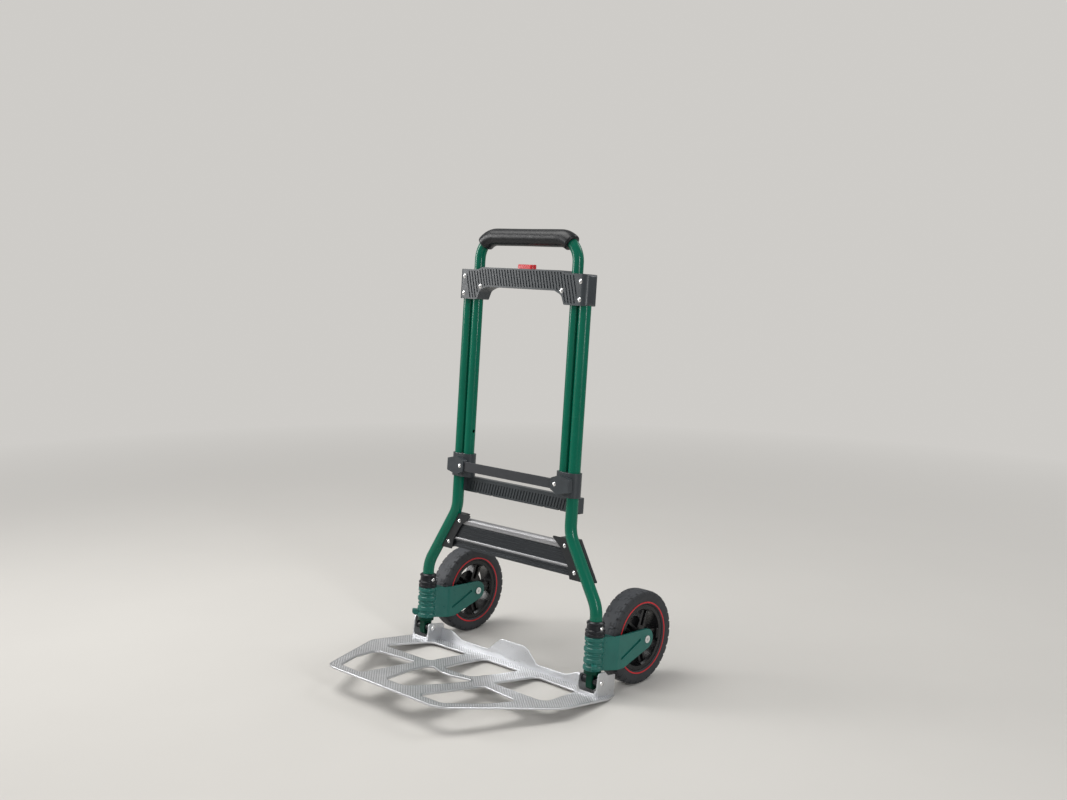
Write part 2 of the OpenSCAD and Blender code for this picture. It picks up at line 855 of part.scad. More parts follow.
module handle_tube() {
    color(green) leaned() difference() {
        handle_course(handle_r);
        handle_course(handle_r - tube_wall, cut);
        both_sides() for (z = [lock_z, lock_z - handle_travel]) {
            x_rod(handle_x - handle_r - cut, handle_x - 2, 0, z, lock_pin_r + slide_gap);
        }
    }
}

module foam_grip() {
    color(black) leaned() difference() {
        grip_course(grip_d / 2);
        handle_course(handle_r + fixed_gap, cut);
    }
}

module grip_course(r) {
    handle_bend(r, grip_wrap_right);
    on_left() handle_bend(r, grip_wrap);
    x_rod(-handle_x + handle_bend_r, handle_x - handle_bend_r, 0, handle_top_z, r);
}

// ---- Slider that joins the handle's lower ends ----

module slider_bracket() {
    d = slider_half_depth;
    difference() {
        translate([0, 0, slider_z]) linear_extrude(height = slider_h) union() {
            translate([frame_x, 0]) circle(d);
            translate([handle_x, 0]) circle(d);
            translate([handle_x, -d]) square([frame_x - handle_x, 2 * d]);
        }
        z_rod(frame_x, 0, slider_z - cut, slider_z + slider_h + cut, frame_r + slide_gap);
        z_rod(handle_x, 0, handle_low_z, slider_z + slider_h + cut, handle_r + fixed_gap);
    }
}

module slider_bracket_left() {
    color(charcoal) leaned() on_left() slider_bracket();
}

module slider_bracket_right() {
    color(charcoal) leaned() slider_bracket();
}

slider_rivet_x = slider_cap_x - 12;

// Six-sided rounded cap on the bracket's front, with the slot that holds the flat bar's end
module slider_cap() {
    w = cap_w / 2;
    h = cap_h / 2;
    difference() {
        facing_front(-cap_front, -slider_half_depth) translate([slider_cap_x, cap_z]) polygon(rounded([
            [-w, -h * 0.55, 3],
            [-w + 16, -h, 5],
            [w, -h * 0.66, 2],
            [w, h * 0.66, 2],
            [-w + 19, h, 5],
            [-w, h * 0.62, 3]
        ]));
        block(
            [slider_cap_x - w - cut, -bar_y - bar_t / 2 - fixed_gap, cap_z - bar_h / 2 - fixed_gap],
            [bar_end_x + fixed_gap, -bar_y + bar_t / 2 + fixed_gap, cap_z + bar_h / 2 + fixed_gap]
        );
        y_rod(slider_rivet_x, -cap_front - cut, -slider_half_depth - 2, cap_z, rivet_shank_r + fixed_gap);
    }
}

module slider_cap_left() {
    color(charcoal) leaned() on_left() slider_cap();
}

module slider_cap_right() {
    color(charcoal) leaned() slider_cap();
}

module slider_bar() {
    color(charcoal) leaned() difference() {
        block(
            [-bar_end_x, -bar_y - bar_t / 2, cap_z - bar_h / 2],
            [bar_end_x, -bar_y + bar_t / 2, cap_z + bar_h / 2]
        );
        both_sides() y_rod(slider_rivet_x, -bar_y - bar_t, -bar_y + bar_t, cap_z, rivet_shank_r + fixed_gap);
    }
}

module slider_rivets() {
    color(bright) leaned() both_sides()
        front_rivet(slider_rivet_x, -cap_front, cap_z, 3.8, rivet_shank_r, cap_t - 2.4);
}

// ---- Toe plate ----

// Places a piece drawn round the hinge line as the plate stands: y back along the plate, z square to it
module on_hinge() {
    translate([0, 0, hinge_z]) rotate([-plate_pitch, 0, 0]) children();
}

plate_half = foot_x + plate_side;
ear_out = ear_gap / 2 + ear_t;
ear_front = -11;
ear_top = sleeve_low_z - hinge_z - 0.5;

// Openings of one half, as rounded outlines in X and Y from the hinge line
rear_side_hole = [[89, -1, 12], [foot_x - 26, -5, 16], [foot_x - 7, -112, 16], [81, -110, 9]];
front_side_hole = [
    [87, -137, 9],
    [foot_x - 33, -150, 14],
    [foot_x - 49, -214, 60],
    [plate_front_w / 2 - 12, 23 - plate_reach, 14],
    [74, 21 - plate_reach, 12],
    [82, -200, 60]
];
rear_middle_hole = [[35, -119, 14], [43, -60, 60], [46, 1, 12]];
front_middle_hole = [[24, 35 - plate_reach, 14], [48, -186, 60], [57, -127, 9], [12, -142, 30]];

// The plate from above: drawn in to its front, and run further back at each pair of ears
module plate_outline() {
    polygon(rounded(both_halves([
        [plate_front_w / 2, -plate_reach, 34],
        [plate_half, -plate_shoulder, 40],
        [plate_half, 9, 6],
        [foot_x + ear_out - 1, plate_heel + foot_run, 5],
        [foot_x - ear_out - 4, plate_heel + foot_run, 4],
        [foot_x - ear_out - 10, plate_heel, 4]
    ]), 8));
}

module plate_holes() {
    for (side = [-1, 1]) {
        for (hole = [rear_side_hole, front_side_hole]) {
            polygon(rounded([for (p = hole) [side * p.x, p.y, p[2]]]));
        }
    }
    for (half = [rear_middle_hole, front_middle_hole]) {
        polygon(rounded(both_halves(half)));
    }
}

// The lip along the heel, seen from the front: low, with a hump in the middle and raised to the ears
module lip_outline() {
    ear_in = foot_x - ear_gap / 2;
    raised = 24;
    half = [
        [ear_in, -plate_t / 2, 0],
        [ear_in, raised, 0],
        [foot_x - 52, raised, 14],
        [foot_x - 80, lip_h, 26],
        [60, lip_h, 16],
        [30, hump_h, 20]
    ];
    translate([0, -hinge_drop]) polygon(rounded(both_halves(half)));
}

// The outer ear from the side: level over the hinge, with a step down behind it
module outer_ear() {
    polygon(rounded([
        [ear_front, -hinge_drop - plate_t / 2, 0],
        [plate_heel + 10, -hinge_drop - plate_t / 2, 0],
        [plate_heel + 8, 13, 2],
        [14, 13, 1],
        [8, ear_top, 2],
        [ear_front + 2, ear_top, 4],
        [ear_front, ear_top - 12, 4]
    ]));
}

// The inner ear from the side: level and lower, with a step down behind the lip
module inner_ear() {
    polygon(rounded([
        [ear_front - 1, -hinge_drop - plate_t / 2, 0],
        [plate_heel + 10, -hinge_drop - plate_t / 2, 0],
        [plate_heel + 8, -4, 3],
        [plate_heel + 3, -3, 2],
        [plate_heel + 1, 8, 4],
        [ear_front - 1, 9.5, 4]
    ]));
}

// The low wall in front of a foot, seen from the front: it rises a little into the ears on both sides
module foot_wall() {
    low = 6 - hinge_drop;
    side = low + 6;
    clear = ear_gap / 2;
    translate([foot_x, 0]) polygon(rounded([
        [-clear - ear_t / 2, -hinge_drop - plate_t / 2, 0],
        [clear + ear_t / 2, -hinge_drop - plate_t / 2, 0],
        [clear + ear_t / 2, side, 0],
        [clear - 0.5, side, 0],
        [clear - 3, low, 4],
        [-clear + 3, low, 4],
        [-clear + 0.5, side, 0],
        [-clear - ear_t / 2, side, 0]
    ]));
}

module toe_plate() {
    color(silver) leaned() on_hinge() difference() {
        union() {
            translate([0, 0, -hinge_drop - plate_t]) linear_extrude(height = plate_t) difference() {
                plate_outline();
                plate_holes();
            }
            facing_front(plate_heel - ear_t, plate_heel) lip_outline();
            both_sides() {
                facing_side(foot_x - ear_out, foot_x - ear_gap / 2) inner_ear();
                facing_side(foot_x + ear_gap / 2, foot_x + ear_out) outer_ear();
                facing_front(ear_front - 1, ear_front + 3) foot_wall();
            }
        }
        both_sides() x_rod(foot_x - 30, foot_x + 30, 0, 0, hinge_pin_r + fixed_gap);
        // The underside behind the heel is cut level with the floor
        translate([-plate_half, plate_heel, -hinge_drop - plate_t]) rotate([toe_tilt, 0, 0])
            translate([0, -cut, -10]) cube([2 * plate_half, 4 * foot_run, 10.02]);
    }
}

module hinge_pins() {
    reach = ear_out;
    color(bright) leaned() both_sides() {
        x_rod(foot_x - reach - 0.01, foot_x + reach + 0.01, 0, hinge_z, hinge_pin_r);
        for (side = [-1, 1]) {
            translate([foot_x + side * reach, 0, hinge_z]) rotate([0, side * 90, 0]) rotate_extrude() dome(5.5);
        }
    }
}

// ---- Wheel arms ----

// The arm seen from the side, in Y and Z: level at the sleeve and drawn in to the axle
module arm_side() {
    heel = [52, sleeve_low_z];
    axle = [axle_back, axle_z];
    away = norm(axle - heel);
    up = atan2(axle.y - heel.y, axle.x - heel.x) - asin(cheek_r / away);
    reach = sqrt(away * away - cheek_r * cheek_r);
    translate(axle) circle(cheek_r);
    polygon([
        [0, sleeve_low_z],
        heel,
        heel + reach * [cos(up), sin(up)],
        axle,
        axle + [0, cheek_r],
        [40, sleeve_top_z],
        [0, sleeve_top_z]
    ]);
}

// The arm seen from above: it widens from the sleeve into two cheeks
module arm_plan() {
    far = axle_back + cheek_r + cut;
    polygon(rounded([
        [-12, 4, 0],
        [12, 4, 0],
        [cheek_out, 33, 12],
        [cheek_out, far, 0],
        [-cheek_out, far, 0],
        [-cheek_out, 33, 12]
    ]));
}

// Rings round the sleeve, as [lower height, upper height, how far they stand out]
sleeve_rings = [
    [0, 8.5, 2.1],
    [12.5, 22, 1.9],
    [25.5, 30, 1.3],
    [33, 41.5, 2.5],
    [45, 49, 1.4],
    [sleeve_h - 8, sleeve_h, 2.1]
];
ring_slope = 1.4;

// One ring round the sleeve, with sloping flanks
module sleeve_ring(low, high, out) {
    slope_h = high - ring_slope - low - ring_slope;
    translate([0, 0, sleeve_low_z + low]) {
        cylinder(h = ring_slope, r1 = sleeve_r + out - ring_slope, r2 = sleeve_r + out);
        translate([0, 0, ring_slope]) cylinder(h = slope_h, r = sleeve_r + out);
        translate([0, 0, ring_slope + slope_h])
            cylinder(h = ring_slope, r1 = sleeve_r + out, r2 = sleeve_r + out - ring_slope);
    }
}

// A channel on one cheek's outer face, along its lower edge
channel_depth = 3;

module arm_channel(side) {
    start = [axle_back - 68, axle_z - 24];
    end = [axle_back - 17, axle_z + 2];
    run = end - start;
    face = side * cheek_out;
    translate([face, start.x, start.y]) rotate([atan2(run.y, run.x), 0, 0]) {
        translate([-channel_depth, 0, -2.4]) cube([2 * channel_depth, norm(run), 4.8]);
        translate([-channel_depth, 0, 0]) rotate([0, 90, 0]) cylinder(h = 2 * channel_depth, r = 2.4);
    }
}

// Lug on the sleeve's outer front corner, which the folding plate turns the arm by. It stays above
// the ears, which rise past the sleeve's lower face as the plate folds
module arm_lug() {
    reach = 27.5;
    rotate([0, 0, -45]) translate([0, 5, 0]) rotate([90, 0, 0]) linear_extrude(height = 10) polygon([
        [frame_r + 1, sleeve_low_z + 3.2],
        [reach - 5, sleeve_low_z + 3.2],
        [reach, sleeve_low_z + 7],
        [reach, sleeve_low_z + 14],
        [frame_r + 1, sleeve_low_z + 14]
    ]);
}

module wheel_arm() {
    translate([foot_x, 0, 0]) difference() {
        union() {
            z_rod(0, 0, sleeve_low_z, sleeve_top_z, sleeve_r);
            for (ring = sleeve_rings) {
                sleeve_ring(ring[0], ring[1], ring[2]);
            }
            intersection() {
                translate([0, 0, sleeve_low_z - cut]) linear_extrude(height = 80) arm_plan();
                facing_side(-cheek_out - cut, cheek_out + cut) arm_side();
            }
            arm_lug();
        }
        z_rod(0, 0, sleeve_low_z - cut, sleeve_top_z + cut, frame_r + turn_gap);
        x_rod(-cheek_gap / 2, cheek_gap / 2, axle_back, axle_z, tyre_r + wheel_gap);
        x_rod(-cheek_out - cut, cheek_out + cut, axle_back, axle_z, axle_r + fixed_gap);
        arm_channel(-1);
        arm_channel(1);
    }
}

module wheel_arm_left() {
    color(arm_green) leaned() on_left() wheel_arm();
}

module wheel_arm_right() {
    color(arm_green) leaned() wheel_arm();
}

// An axle with a flat head on each side
module axle() {
    translate([foot_x, 0, 0]) difference() {
        union() {
            x_rod(-cheek_out - 0.1, cheek_out + 0.1, axle_back, axle_z, axle_r);
            for (side = [-1, 1]) {
                head = side * (cheek_out + 1.35);
                x_rod(head - 1.35, head + 1.35, axle_back, axle_z, axle_r + 1.8);
            }
        }
        for (side = [-1, 1]) {
            socket = side * (cheek_out + 2.7);
            x_rod(socket - 1.5, socket + 1.5, axle_back, axle_z, 2.5, $fn = 6);
        }
    }
}

module axle_left() {
    color(bright) leaned() on_left() axle();
}

module axle_right() {
    color(bright) leaned() axle();
}

// ---- Wheels ----

hub_half = cheek_gap / 2 - slide_gap;
rim_half = 16;
web_half = 10;
spoke_half = 9;
spoke_w = 5.5;
web_r = 36;

// Everything of a wheel is drawn round the X axis and then set on its axle
module on_axle() {
    translate([foot_x, axle_back, axle_z]) children();
}

// Outlines of the rim's pockets, drawn in the wheel's plane: one wide pocket and one slot a spoke
module rim_pockets() {
    step = 360 / spoke_count;
    pocket_out = rim_r - 8;
    for (i = [0:spoke_count - 1]) rotate(i * step) {
        intersection() {
            difference() {
                circle(pocket_out);
                circle(axle_r + 13);
            }
            rotate(step / 2) translate([spoke_half / sin(step / 2), 0]) polygon([
                [0, 0],
                [rim_r, rim_r * tan(step / 2)],
                [rim_r, -rim_r * tan(step / 2)]
            ]);
        }
        translate([axle_r + 16, -spoke_half + spoke_w]) square([pocket_out - axle_r - 19, 2 * (spoke_half - spoke_w)]);
    }
}

module rim() {
    on_axle() difference() {
        union() {
            turned_on_x(0, 0, 0) polygon([
                [rim_r - 8, -rim_half],
                [rim_r, -rim_half],
                [rim_r, rim_half],
                [rim_r - 8, rim_half],
                [rim_r - 11, rim_half - 3],
                [rim_r - 11, -rim_half + 3]
            ]);
            x_rod(-web_half, web_half, 0, 0, rim_r - 6);
            x_rod(-hub_half, hub_half, 0, 0, axle_r + 9);
        }
        for (side = [0, 1]) {
            rotate([0, 0, 180 * side]) rotate([90, 0, 90]) translate([0, 0, 1.5])
                linear_extrude(height = rim_half + cut) mirror([side, 0]) rim_pockets();
        }
        rotate([90, 0, 90]) translate([0, 0, -2]) linear_extrude(height = 4) difference() {
            rim_pockets();
            circle(web_r);
        }
        x_rod(-hub_half - cut, hub_half + cut, 0, 0, axle_r + turn_gap);
    }
}

module rim_left() {
    color(black) leaned() on_left() rim();
}

module rim_right() {
    color(black) leaned() rim();
}

wall_half = tyre_w / 2 - 1;

module tyre() {
    on_axle() difference() {
        turned_on_x(0, 0, 0) polygon(rounded([
            [rim_r + fixed_gap, -rim_half, 0],
            [rim_r + 1.5, -wall_half + 1.5, 1.5],
            [stripe_r + 3, -wall_half, 2],
            [tyre_r - 12, -tyre_w / 2, 3],
            [tyre_r - 5, -tyre_w / 2 + 1, 3],
            [tyre_r, -tyre_w / 2 + 7, 3],
            [tyre_r, tyre_w / 2 - 7, 3],
            [tyre_r - 5, tyre_w / 2 - 1, 3],
            [tyre_r - 12, tyre_w / 2, 3],
            [stripe_r + 3, wall_half, 2],
            [rim_r + 1.5, wall_half - 1.5, 1.5],
            [rim_r + fixed_gap, rim_half, 0]
        ], 3));
        for (i = [0:block_count - 1], side = [-1, 1]) {
            rotate([(i + side / 4) * 360 / block_count, 0, 0]) block(
                side < 0 ? [-tyre_w / 2 - cut, -2.2, tyre_r - 6] : [tyre_w / 2 - 6, -2.2, tyre_r - 6],
                side < 0 ? [-tyre_w / 2 + 6, 2.2, tyre_r + cut] : [tyre_w / 2 + cut, 2.2, tyre_r + cut]
            );
        }
        stripe_rings(fixed_gap);
    }
}

// The coloured line let into each wall of a tyre
module stripe_rings(gap) {
    for (side = [-1, 1]) {
        turned_on_x(side * (wall_half - 0.5), 0, 0) translate([stripe_r, 0])
            square([stripe_t + 2 * gap, 2 + 2 * gap], center = true);
    }
}

module tyre_stripe() {
    on_axle() stripe_rings(0);
}

module tyre_left() {
    color(black) leaned() on_left() tyre();
}

module tyre_right() {
    color(black) leaned() tyre();
}

module tyre_stripe_left() {
    color(red) leaned() on_left() tyre_stripe();
}

module tyre_stripe_right() {
    color(red) leaned() tyre_stripe();
}

frame_tube_left();
frame_tube_right();
bridge_front_shell();
bridge_rear_shell();
bridge_rivets();
bridge_screws();
release_button();
lock_slide_left();
lock_slide_right();
lock_spring();
cross_member();
cross_member_screws();
panel();
panel_cap_left();
panel_cap_right();
panel_rivets();
collar_left();
collar_right();
collar_rivets();
foot_block_left();
foot_block_right();
hinge_bushes();
handle_tube();
foam_grip();
slider_bracket_left();
slider_bracket_right();
slider_cap_left();
slider_cap_right();
slider_bar();
slider_rivets();
toe_plate();
hinge_pins();
wheel_arm_left();
wheel_arm_right();
axle_left();
axle_right();
rim_left();
rim_right();
tyre_left();
tyre_right();
tyre_stripe_left();
tyre_stripe_right();
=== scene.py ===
import json
import math
import bpy
import bmesh
from mathutils import Matrix, Vector, noise


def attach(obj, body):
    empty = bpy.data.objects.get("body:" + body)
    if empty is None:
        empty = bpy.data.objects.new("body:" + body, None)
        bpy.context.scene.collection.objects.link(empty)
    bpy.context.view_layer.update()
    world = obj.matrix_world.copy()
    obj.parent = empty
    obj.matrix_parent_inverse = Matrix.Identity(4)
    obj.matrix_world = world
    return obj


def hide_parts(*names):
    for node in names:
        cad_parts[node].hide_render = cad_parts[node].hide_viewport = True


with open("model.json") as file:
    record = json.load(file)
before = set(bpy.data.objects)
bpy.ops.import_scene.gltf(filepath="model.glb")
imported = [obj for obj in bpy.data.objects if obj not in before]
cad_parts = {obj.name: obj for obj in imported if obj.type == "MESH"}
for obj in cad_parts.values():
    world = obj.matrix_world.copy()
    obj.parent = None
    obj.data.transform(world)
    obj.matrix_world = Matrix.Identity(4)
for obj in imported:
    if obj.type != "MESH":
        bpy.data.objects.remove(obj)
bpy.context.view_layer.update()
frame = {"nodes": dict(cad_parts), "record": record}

# The looks of a folding sack truck: each piece rides on a body and replaces the CAD nodes that it shows.
# The truck leans back, and its toe plate is pitched so that it lies flat on the floor.
MM = 0.001
LEAN = math.radians(4.5)
PITCH = math.radians(3.5)
STAND_Y = 0.0467485
HINGE_Z = 0.0321785
AXLE = Vector((0.215, 0.113, 0.0941561))

# The tubes, in mm: where their centre lines run and bend, their radii and wall, and their meshes' steps
FRAME_X = 144
FRAME_LOW = 51.2
FRAME_TOP = 734
FRAME_R = 11
FOOT_X = 215
SPLAY_LOW = 160
SPLAY_HIGH = 279
SPLAY_BEND = 60
HANDLE_X = 121.5
HANDLE_LOW = 350
HANDLE_TOP = 798.5
HANDLE_BEND = 42
HANDLE_R = 10
WALL = 1.5
TUBE_STEP = 12
TUBE_SIDES = 56

# Places of the truck's own upright frame and of the toe plate, in the shared frame
STAND = Matrix.Translation((0, STAND_Y, 0)) @ Matrix.Rotation(-LEAN, 4, "X")
PLATE = STAND @ Matrix.Translation((0, 0, HINGE_Z)) @ Matrix.Rotation(-PITCH, 4, "X")


# ---------------------------------------------------------------- materials
class Shader:
    """A procedural material built round one Principled shader, in object coordinates."""

    def __init__(self, name, color, rough, metal=0.0, coat=0.0, coat_rough=0.1, specular=None):
        self.mat = bpy.data.materials.new(name)
        self.mat.use_nodes = True
        self.nodes = self.mat.node_tree.nodes
        self.links = self.mat.node_tree.links
        self.bsdf = self.nodes["Principled BSDF"]
        b = self.bsdf.inputs
        b["Base Color"].default_value = (*color, 1)
        b["Roughness"].default_value = rough
        b["Metallic"].default_value = metal
        b["Coat Weight"].default_value = coat
        b["Coat Roughness"].default_value = coat_rough
        if specular is not None:
            b["Specular IOR Level"].default_value = specular
        self.mat.diffuse_color = (*color, 1)
        self.color = color
        self.coord = self.new("ShaderNodeTexCoord").outputs["Object"]
        self.height = None

    def new(self, kind, **values):
        node = self.nodes.new(kind)
        for key, value in values.items():
            setattr(node, key, value)
        return node

    def link(self, a, b):
        self.links.new(a, b)

    def scaled(self, scale, turn=(0, 0, 0)):
        n = self.new("ShaderNodeMapping")
        n.inputs["Scale"].default_value = scale
        n.inputs["Rotation"].default_value = turn
        self.link(self.coord, n.inputs["Vector"])
        return n.outputs["Vector"]

    def noise(self, size, detail, rough=0.55, stretch=(1, 1, 1)):
        n = self.new("ShaderNodeTexNoise")
        n.inputs["Scale"].default_value = 1.0
        n.inputs["Detail"].default_value = detail
        n.inputs["Roughness"].default_value = rough
        self.link(self.scaled(tuple(s / size for s in stretch)), n.inputs["Vector"])
        return n.outputs["Fac"]

    def cells(self, size):
        v = self.new("ShaderNodeTexVoronoi")
        v.inputs["Scale"].default_value = 1.0
        self.link(self.scaled((1 / size,) * 3), v.inputs["Vector"])
        return v.outputs["Distance"]

    def lines(self, size, degrees):
        """Straight waves of this size, in metres, turned about the vertical by so many degrees."""
        period = 0.31416  # the wave texture's own, at a scale of 1
        n = self.new("ShaderNodeTexWave", wave_type="BANDS", bands_direction="X", wave_profile="SIN")
        n.inputs["Scale"].default_value = 1.0
        n.inputs["Distortion"].default_value = 0.0
        self.link(self.scaled((period / size,) * 3, (0, 0, math.radians(degrees))), n.inputs["Vector"])
        return n.outputs["Fac"]

    def math(self, op, a, b, c=None):
        n = self.new("ShaderNodeMath", operation=op)
        for i, v in enumerate((a, b, c)):
            if v is None:
                continue
            if isinstance(v, (int, float)):
                n.inputs[i].default_value = v
            else:
                self.link(v, n.inputs[i])
        return n.outputs[0]

    def ramp(self, fac, low, high, out_low=0.0, out_high=1.0):
        n = self.new("ShaderNodeMapRange")
        n.inputs["From Min"].default_value = low
        n.inputs["From Max"].default_value = high
        n.inputs["To Min"].default_value = out_low
        n.inputs["To Max"].default_value = out_high
        self.link(fac, n.inputs["Value"])
        return n.outputs["Result"]

    def bump(self, fac, distance, strength):
        """Adds a bump of this height, in metres, on top of those already there."""
        n = self.new("ShaderNodeBump")
        n.inputs["Distance"].default_value = distance
        n.inputs["Strength"].default_value = strength
        self.link(fac, n.inputs["Height"])
        if self.height is not None:
            self.link(self.height, n.inputs["Normal"])
        self.height = n.outputs["Normal"]
        self.link(self.height, self.bsdf.inputs["Normal"])

    def vary_color(self, fac, dark, light):
        """Mixes the base colour between two multiples of itself."""
        n = self.new("ShaderNodeMix", data_type="RGBA")
        n.inputs["A"].default_value = (*[min(1, c * dark) for c in self.color], 1)
        n.inputs["B"].default_value = (*[min(1, c * light) for c in self.color], 1)
        self.link(fac, n.inputs["Factor"])
        self.link(n.outputs["Result"], self.bsdf.inputs["Base Color"])

    def vary_rough(self, fac, low, high):
        self.link(self.ramp(fac, 0.25, 0.75, low, high), self.bsdf.inputs["Roughness"])


def green_paint():
    m = Shader("green_powder_coat", (0.0, 0.118, 0.070), 0.22, coat=0.15, coat_rough=0.06, specular=0.2)
    m.vary_color(m.noise(0.07, 3), 0.90, 1.10)
    m.vary_rough(m.noise(0.02, 4), 0.20, 0.29)
    m.bump(m.noise(0.0022, 3, 0.5), 0.00005, 0.3)
    m.bump(m.noise(0.012, 2, 0.5), 0.00010, 0.2)
    return m.mat


def moulded(name, color, rough, coat=0.0, streak=True, specular=0.4):
    """Moulded plastic: a fine spark-eroded grain, faint flow streaks and uneven gloss."""
    m = Shader(name, color, rough, coat=coat, coat_rough=0.2, specular=specular)
    cloud = m.noise(0.03, 4)
    if streak:
        flow = m.noise(0.02, 3, 0.6, (1, 1, 0.25))
        cloud = m.math("MULTIPLY", m.math("ADD", cloud, flow), 0.5)
    m.vary_color(m.ramp(cloud, 0.3, 0.7), 0.88, 1.14)
    m.vary_rough(m.noise(0.009, 4), rough * 0.88, min(1, rough * 1.14))
    m.bump(m.noise(0.0006, 2, 0.6), 0.00005, 0.5)
    m.bump(m.noise(0.008, 2, 0.5), 0.00010, 0.25)
    return m.mat


def foam():
    m = Shader("foam_skin", (0.006, 0.007, 0.009), 0.34, specular=0.35)
    m.vary_color(m.noise(0.012, 4), 0.8, 1.25)
    m.vary_rough(m.noise(0.006, 3), 0.32, 0.42)
    m.bump(m.cells(0.0011), 0.00006, 0.4)
    m.bump(m.noise(0.006, 3), 0.00018, 0.3)
    return m.mat


def rubber():
    """Tyre rubber with painted light: the tread's top lighter than the walls, as painted highlight, and the
    grooves darker, as painted shade.
    """
    m = Shader("tyre_rubber", (0.026, 0.028, 0.032), 0.56, specular=0.4)
    painted_light_and_shade = m.new("ShaderNodeAttribute")
    painted_light_and_shade.attribute_name = "painted_light_and_shade"
    cloud = m.math("MULTIPLY_ADD", m.noise(0.012, 4), 0.5, -0.25)
    # painted light and shade from the tyre's attribute, mixed with a random cloud of tone
    m.vary_color(m.math("ADD", painted_light_and_shade.outputs["Fac"], cloud), 0.85, 2.0)
    m.vary_rough(m.noise(0.008, 4), 0.5, 0.66)
    m.bump(m.noise(0.0009, 3, 0.6), 0.00008, 0.5)
    return m.mat


def knurled_aluminium():
    """The toe plate's upper face: two crossing sets of fine slanting ridges, pressed into the sheet."""
    m = Shader("pressed_aluminium", (0.78, 0.79, 0.81), 0.36, metal=0.75)
    a = m.lines(0.0042, 35)
    b = m.lines(0.0042, -48)
    diamond = m.math("MULTIPLY", a, m.math("MULTIPLY_ADD", b, 0.75, 0.25))
    cloud = m.noise(0.05, 4)
    # painted shade and highlight: the colour darker in the grooves between the pressed ridges and lighter on
    # their crests, mixed with a random cloud of tone
    shade = m.math("ADD", m.math("MULTIPLY", diamond, 0.8), m.math("MULTIPLY", cloud, 0.3))
    m.vary_color(m.ramp(shade, 0.10, 0.70), 0.36, 1.22)
    m.vary_rough(m.noise(0.012, 5), 0.32, 0.46)
    m.bump(diamond, 0.0008, 0.9)
    m.bump(m.noise(0.0012, 3), 0.00003, 0.4)
    return m.mat


def smooth_aluminium():
    m = Shader("bare_aluminium", (0.60, 0.61, 0.63), 0.30, metal=0.85)
    m.vary_color(m.noise(0.02, 4), 0.9, 1.06)
    m.vary_rough(m.noise(0.006, 4, 0.6, (1, 1, 5)), 0.25, 0.40)
    m.bump(m.noise(0.0016, 3, 0.6, (0.3, 1, 1)), 0.00003, 0.4)
    return m.mat


def anodised(name, color, rough, metal):
    m = Shader(name, color, rough, metal=metal)
    brushed = m.noise(0.0009, 3, 0.6, (0.02, 1, 1))
    m.vary_color(m.noise(0.04, 3), 0.88, 1.12)
    m.vary_rough(brushed, rough * 0.95, rough * 1.06)
    m.bump(brushed, 0.000004, 0.15)
    return m.mat


def steel():
    m = Shader("zinc_plated_steel", (0.80, 0.80, 0.80), 0.22, metal=1.0)
    m.vary_color(m.noise(0.003, 3), 0.9, 1.05)
    m.vary_rough(m.noise(0.0015, 3), 0.16, 0.30)
    m.bump(m.noise(0.0007, 2), 0.00002, 0.4)
    return m.mat


MAT = {
    "green_paint": green_paint(),
    "green_plastic": moulded("green_nylon", (0.010, 0.116, 0.096), 0.30, specular=0.42),
    "dark_green_plastic": moulded("dark_green_nylon", (0.001, 0.036, 0.021), 0.40, specular=0.12),
    "charcoal_plastic": moulded("charcoal_nylon", (0.036, 0.043, 0.049), 0.34, specular=0.42),
    "black_plastic": moulded("black_nylon", (0.007, 0.008, 0.011), 0.30, specular=0.35),
    "cap_plastic": moulded("cap_nylon", (0.016, 0.018, 0.020), 0.40, specular=0.3),
    "rim_plastic": moulded("rim_nylon", (0.006, 0.006, 0.007), 0.28, coat=0.05, streak=False, specular=0.35),
    "black_anodised": anodised("dark_anodised", (0.028, 0.032, 0.037), 0.27, 0.4),
    # a lighter grey: partly the panel rail's silver finish and partly painted highlight, on the rounded rail
    # and on the bead
    "silver_and_painted_highlight": anodised("silver_and_painted_highlight", (0.27, 0.27, 0.28), 0.38, 0.5),
    "bar_anodised": anodised("bar_anodised", (0.046, 0.049, 0.055), 0.32, 0.35),
    "red_plastic": moulded("red_button", (0.62, 0.018, 0.025), 0.28, coat=0.3, streak=False),
    "lock_plastic": moulded("lock_acetal", (0.30, 0.30, 0.30), 0.4),
    "spring_steel": steel(),
    "bright_steel": steel(),
    "foam": foam(),
    "plate_aluminium": knurled_aluminium(),
    "edge_aluminium": smooth_aluminium(),
    "tyre_rubber": rubber(),
    "stripe_red": moulded("red_rubber", (0.50, 0.014, 0.022), 0.45, streak=False),
}
SLOTS = {s["node"]: s["material_slot"] for s in frame["record"]["subparts"]}
for name, obj in frame["nodes"].items():
    obj.data.materials.clear()
    obj.data.materials.append(MAT[SLOTS[name]])
BODY = {n: body for body, names in frame["record"]["behaviour"]["bodies"].items() for n in names}


# ---------------------------------------------------------------- mesh helpers
def finish_mesh(name, bm, slot, body, replaced, place=Matrix(), smooth_deg=40, materials=None):
    """Turns a bmesh into a piece that rides on a body and stands for the CAD nodes it replaces."""
    me = bpy.data.meshes.new(name)
    bm.transform(place)
    bm.normal_update()
    limit = math.radians(smooth_deg)
    for f in bm.faces:
        f.smooth = True
    for e in bm.edges:
        e.smooth = len(e.link_faces) == 2 and e.calc_face_angle(0.0) < limit
    bm.to_mesh(me)
    bm.free()
    obj = bpy.data.objects.new(name, me)
    bpy.context.scene.collection.objects.link(obj)
    for m in materials or [MAT[slot]]:
        me.materials.append(m)
    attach(obj, body)
    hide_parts(*replaced)
    return obj


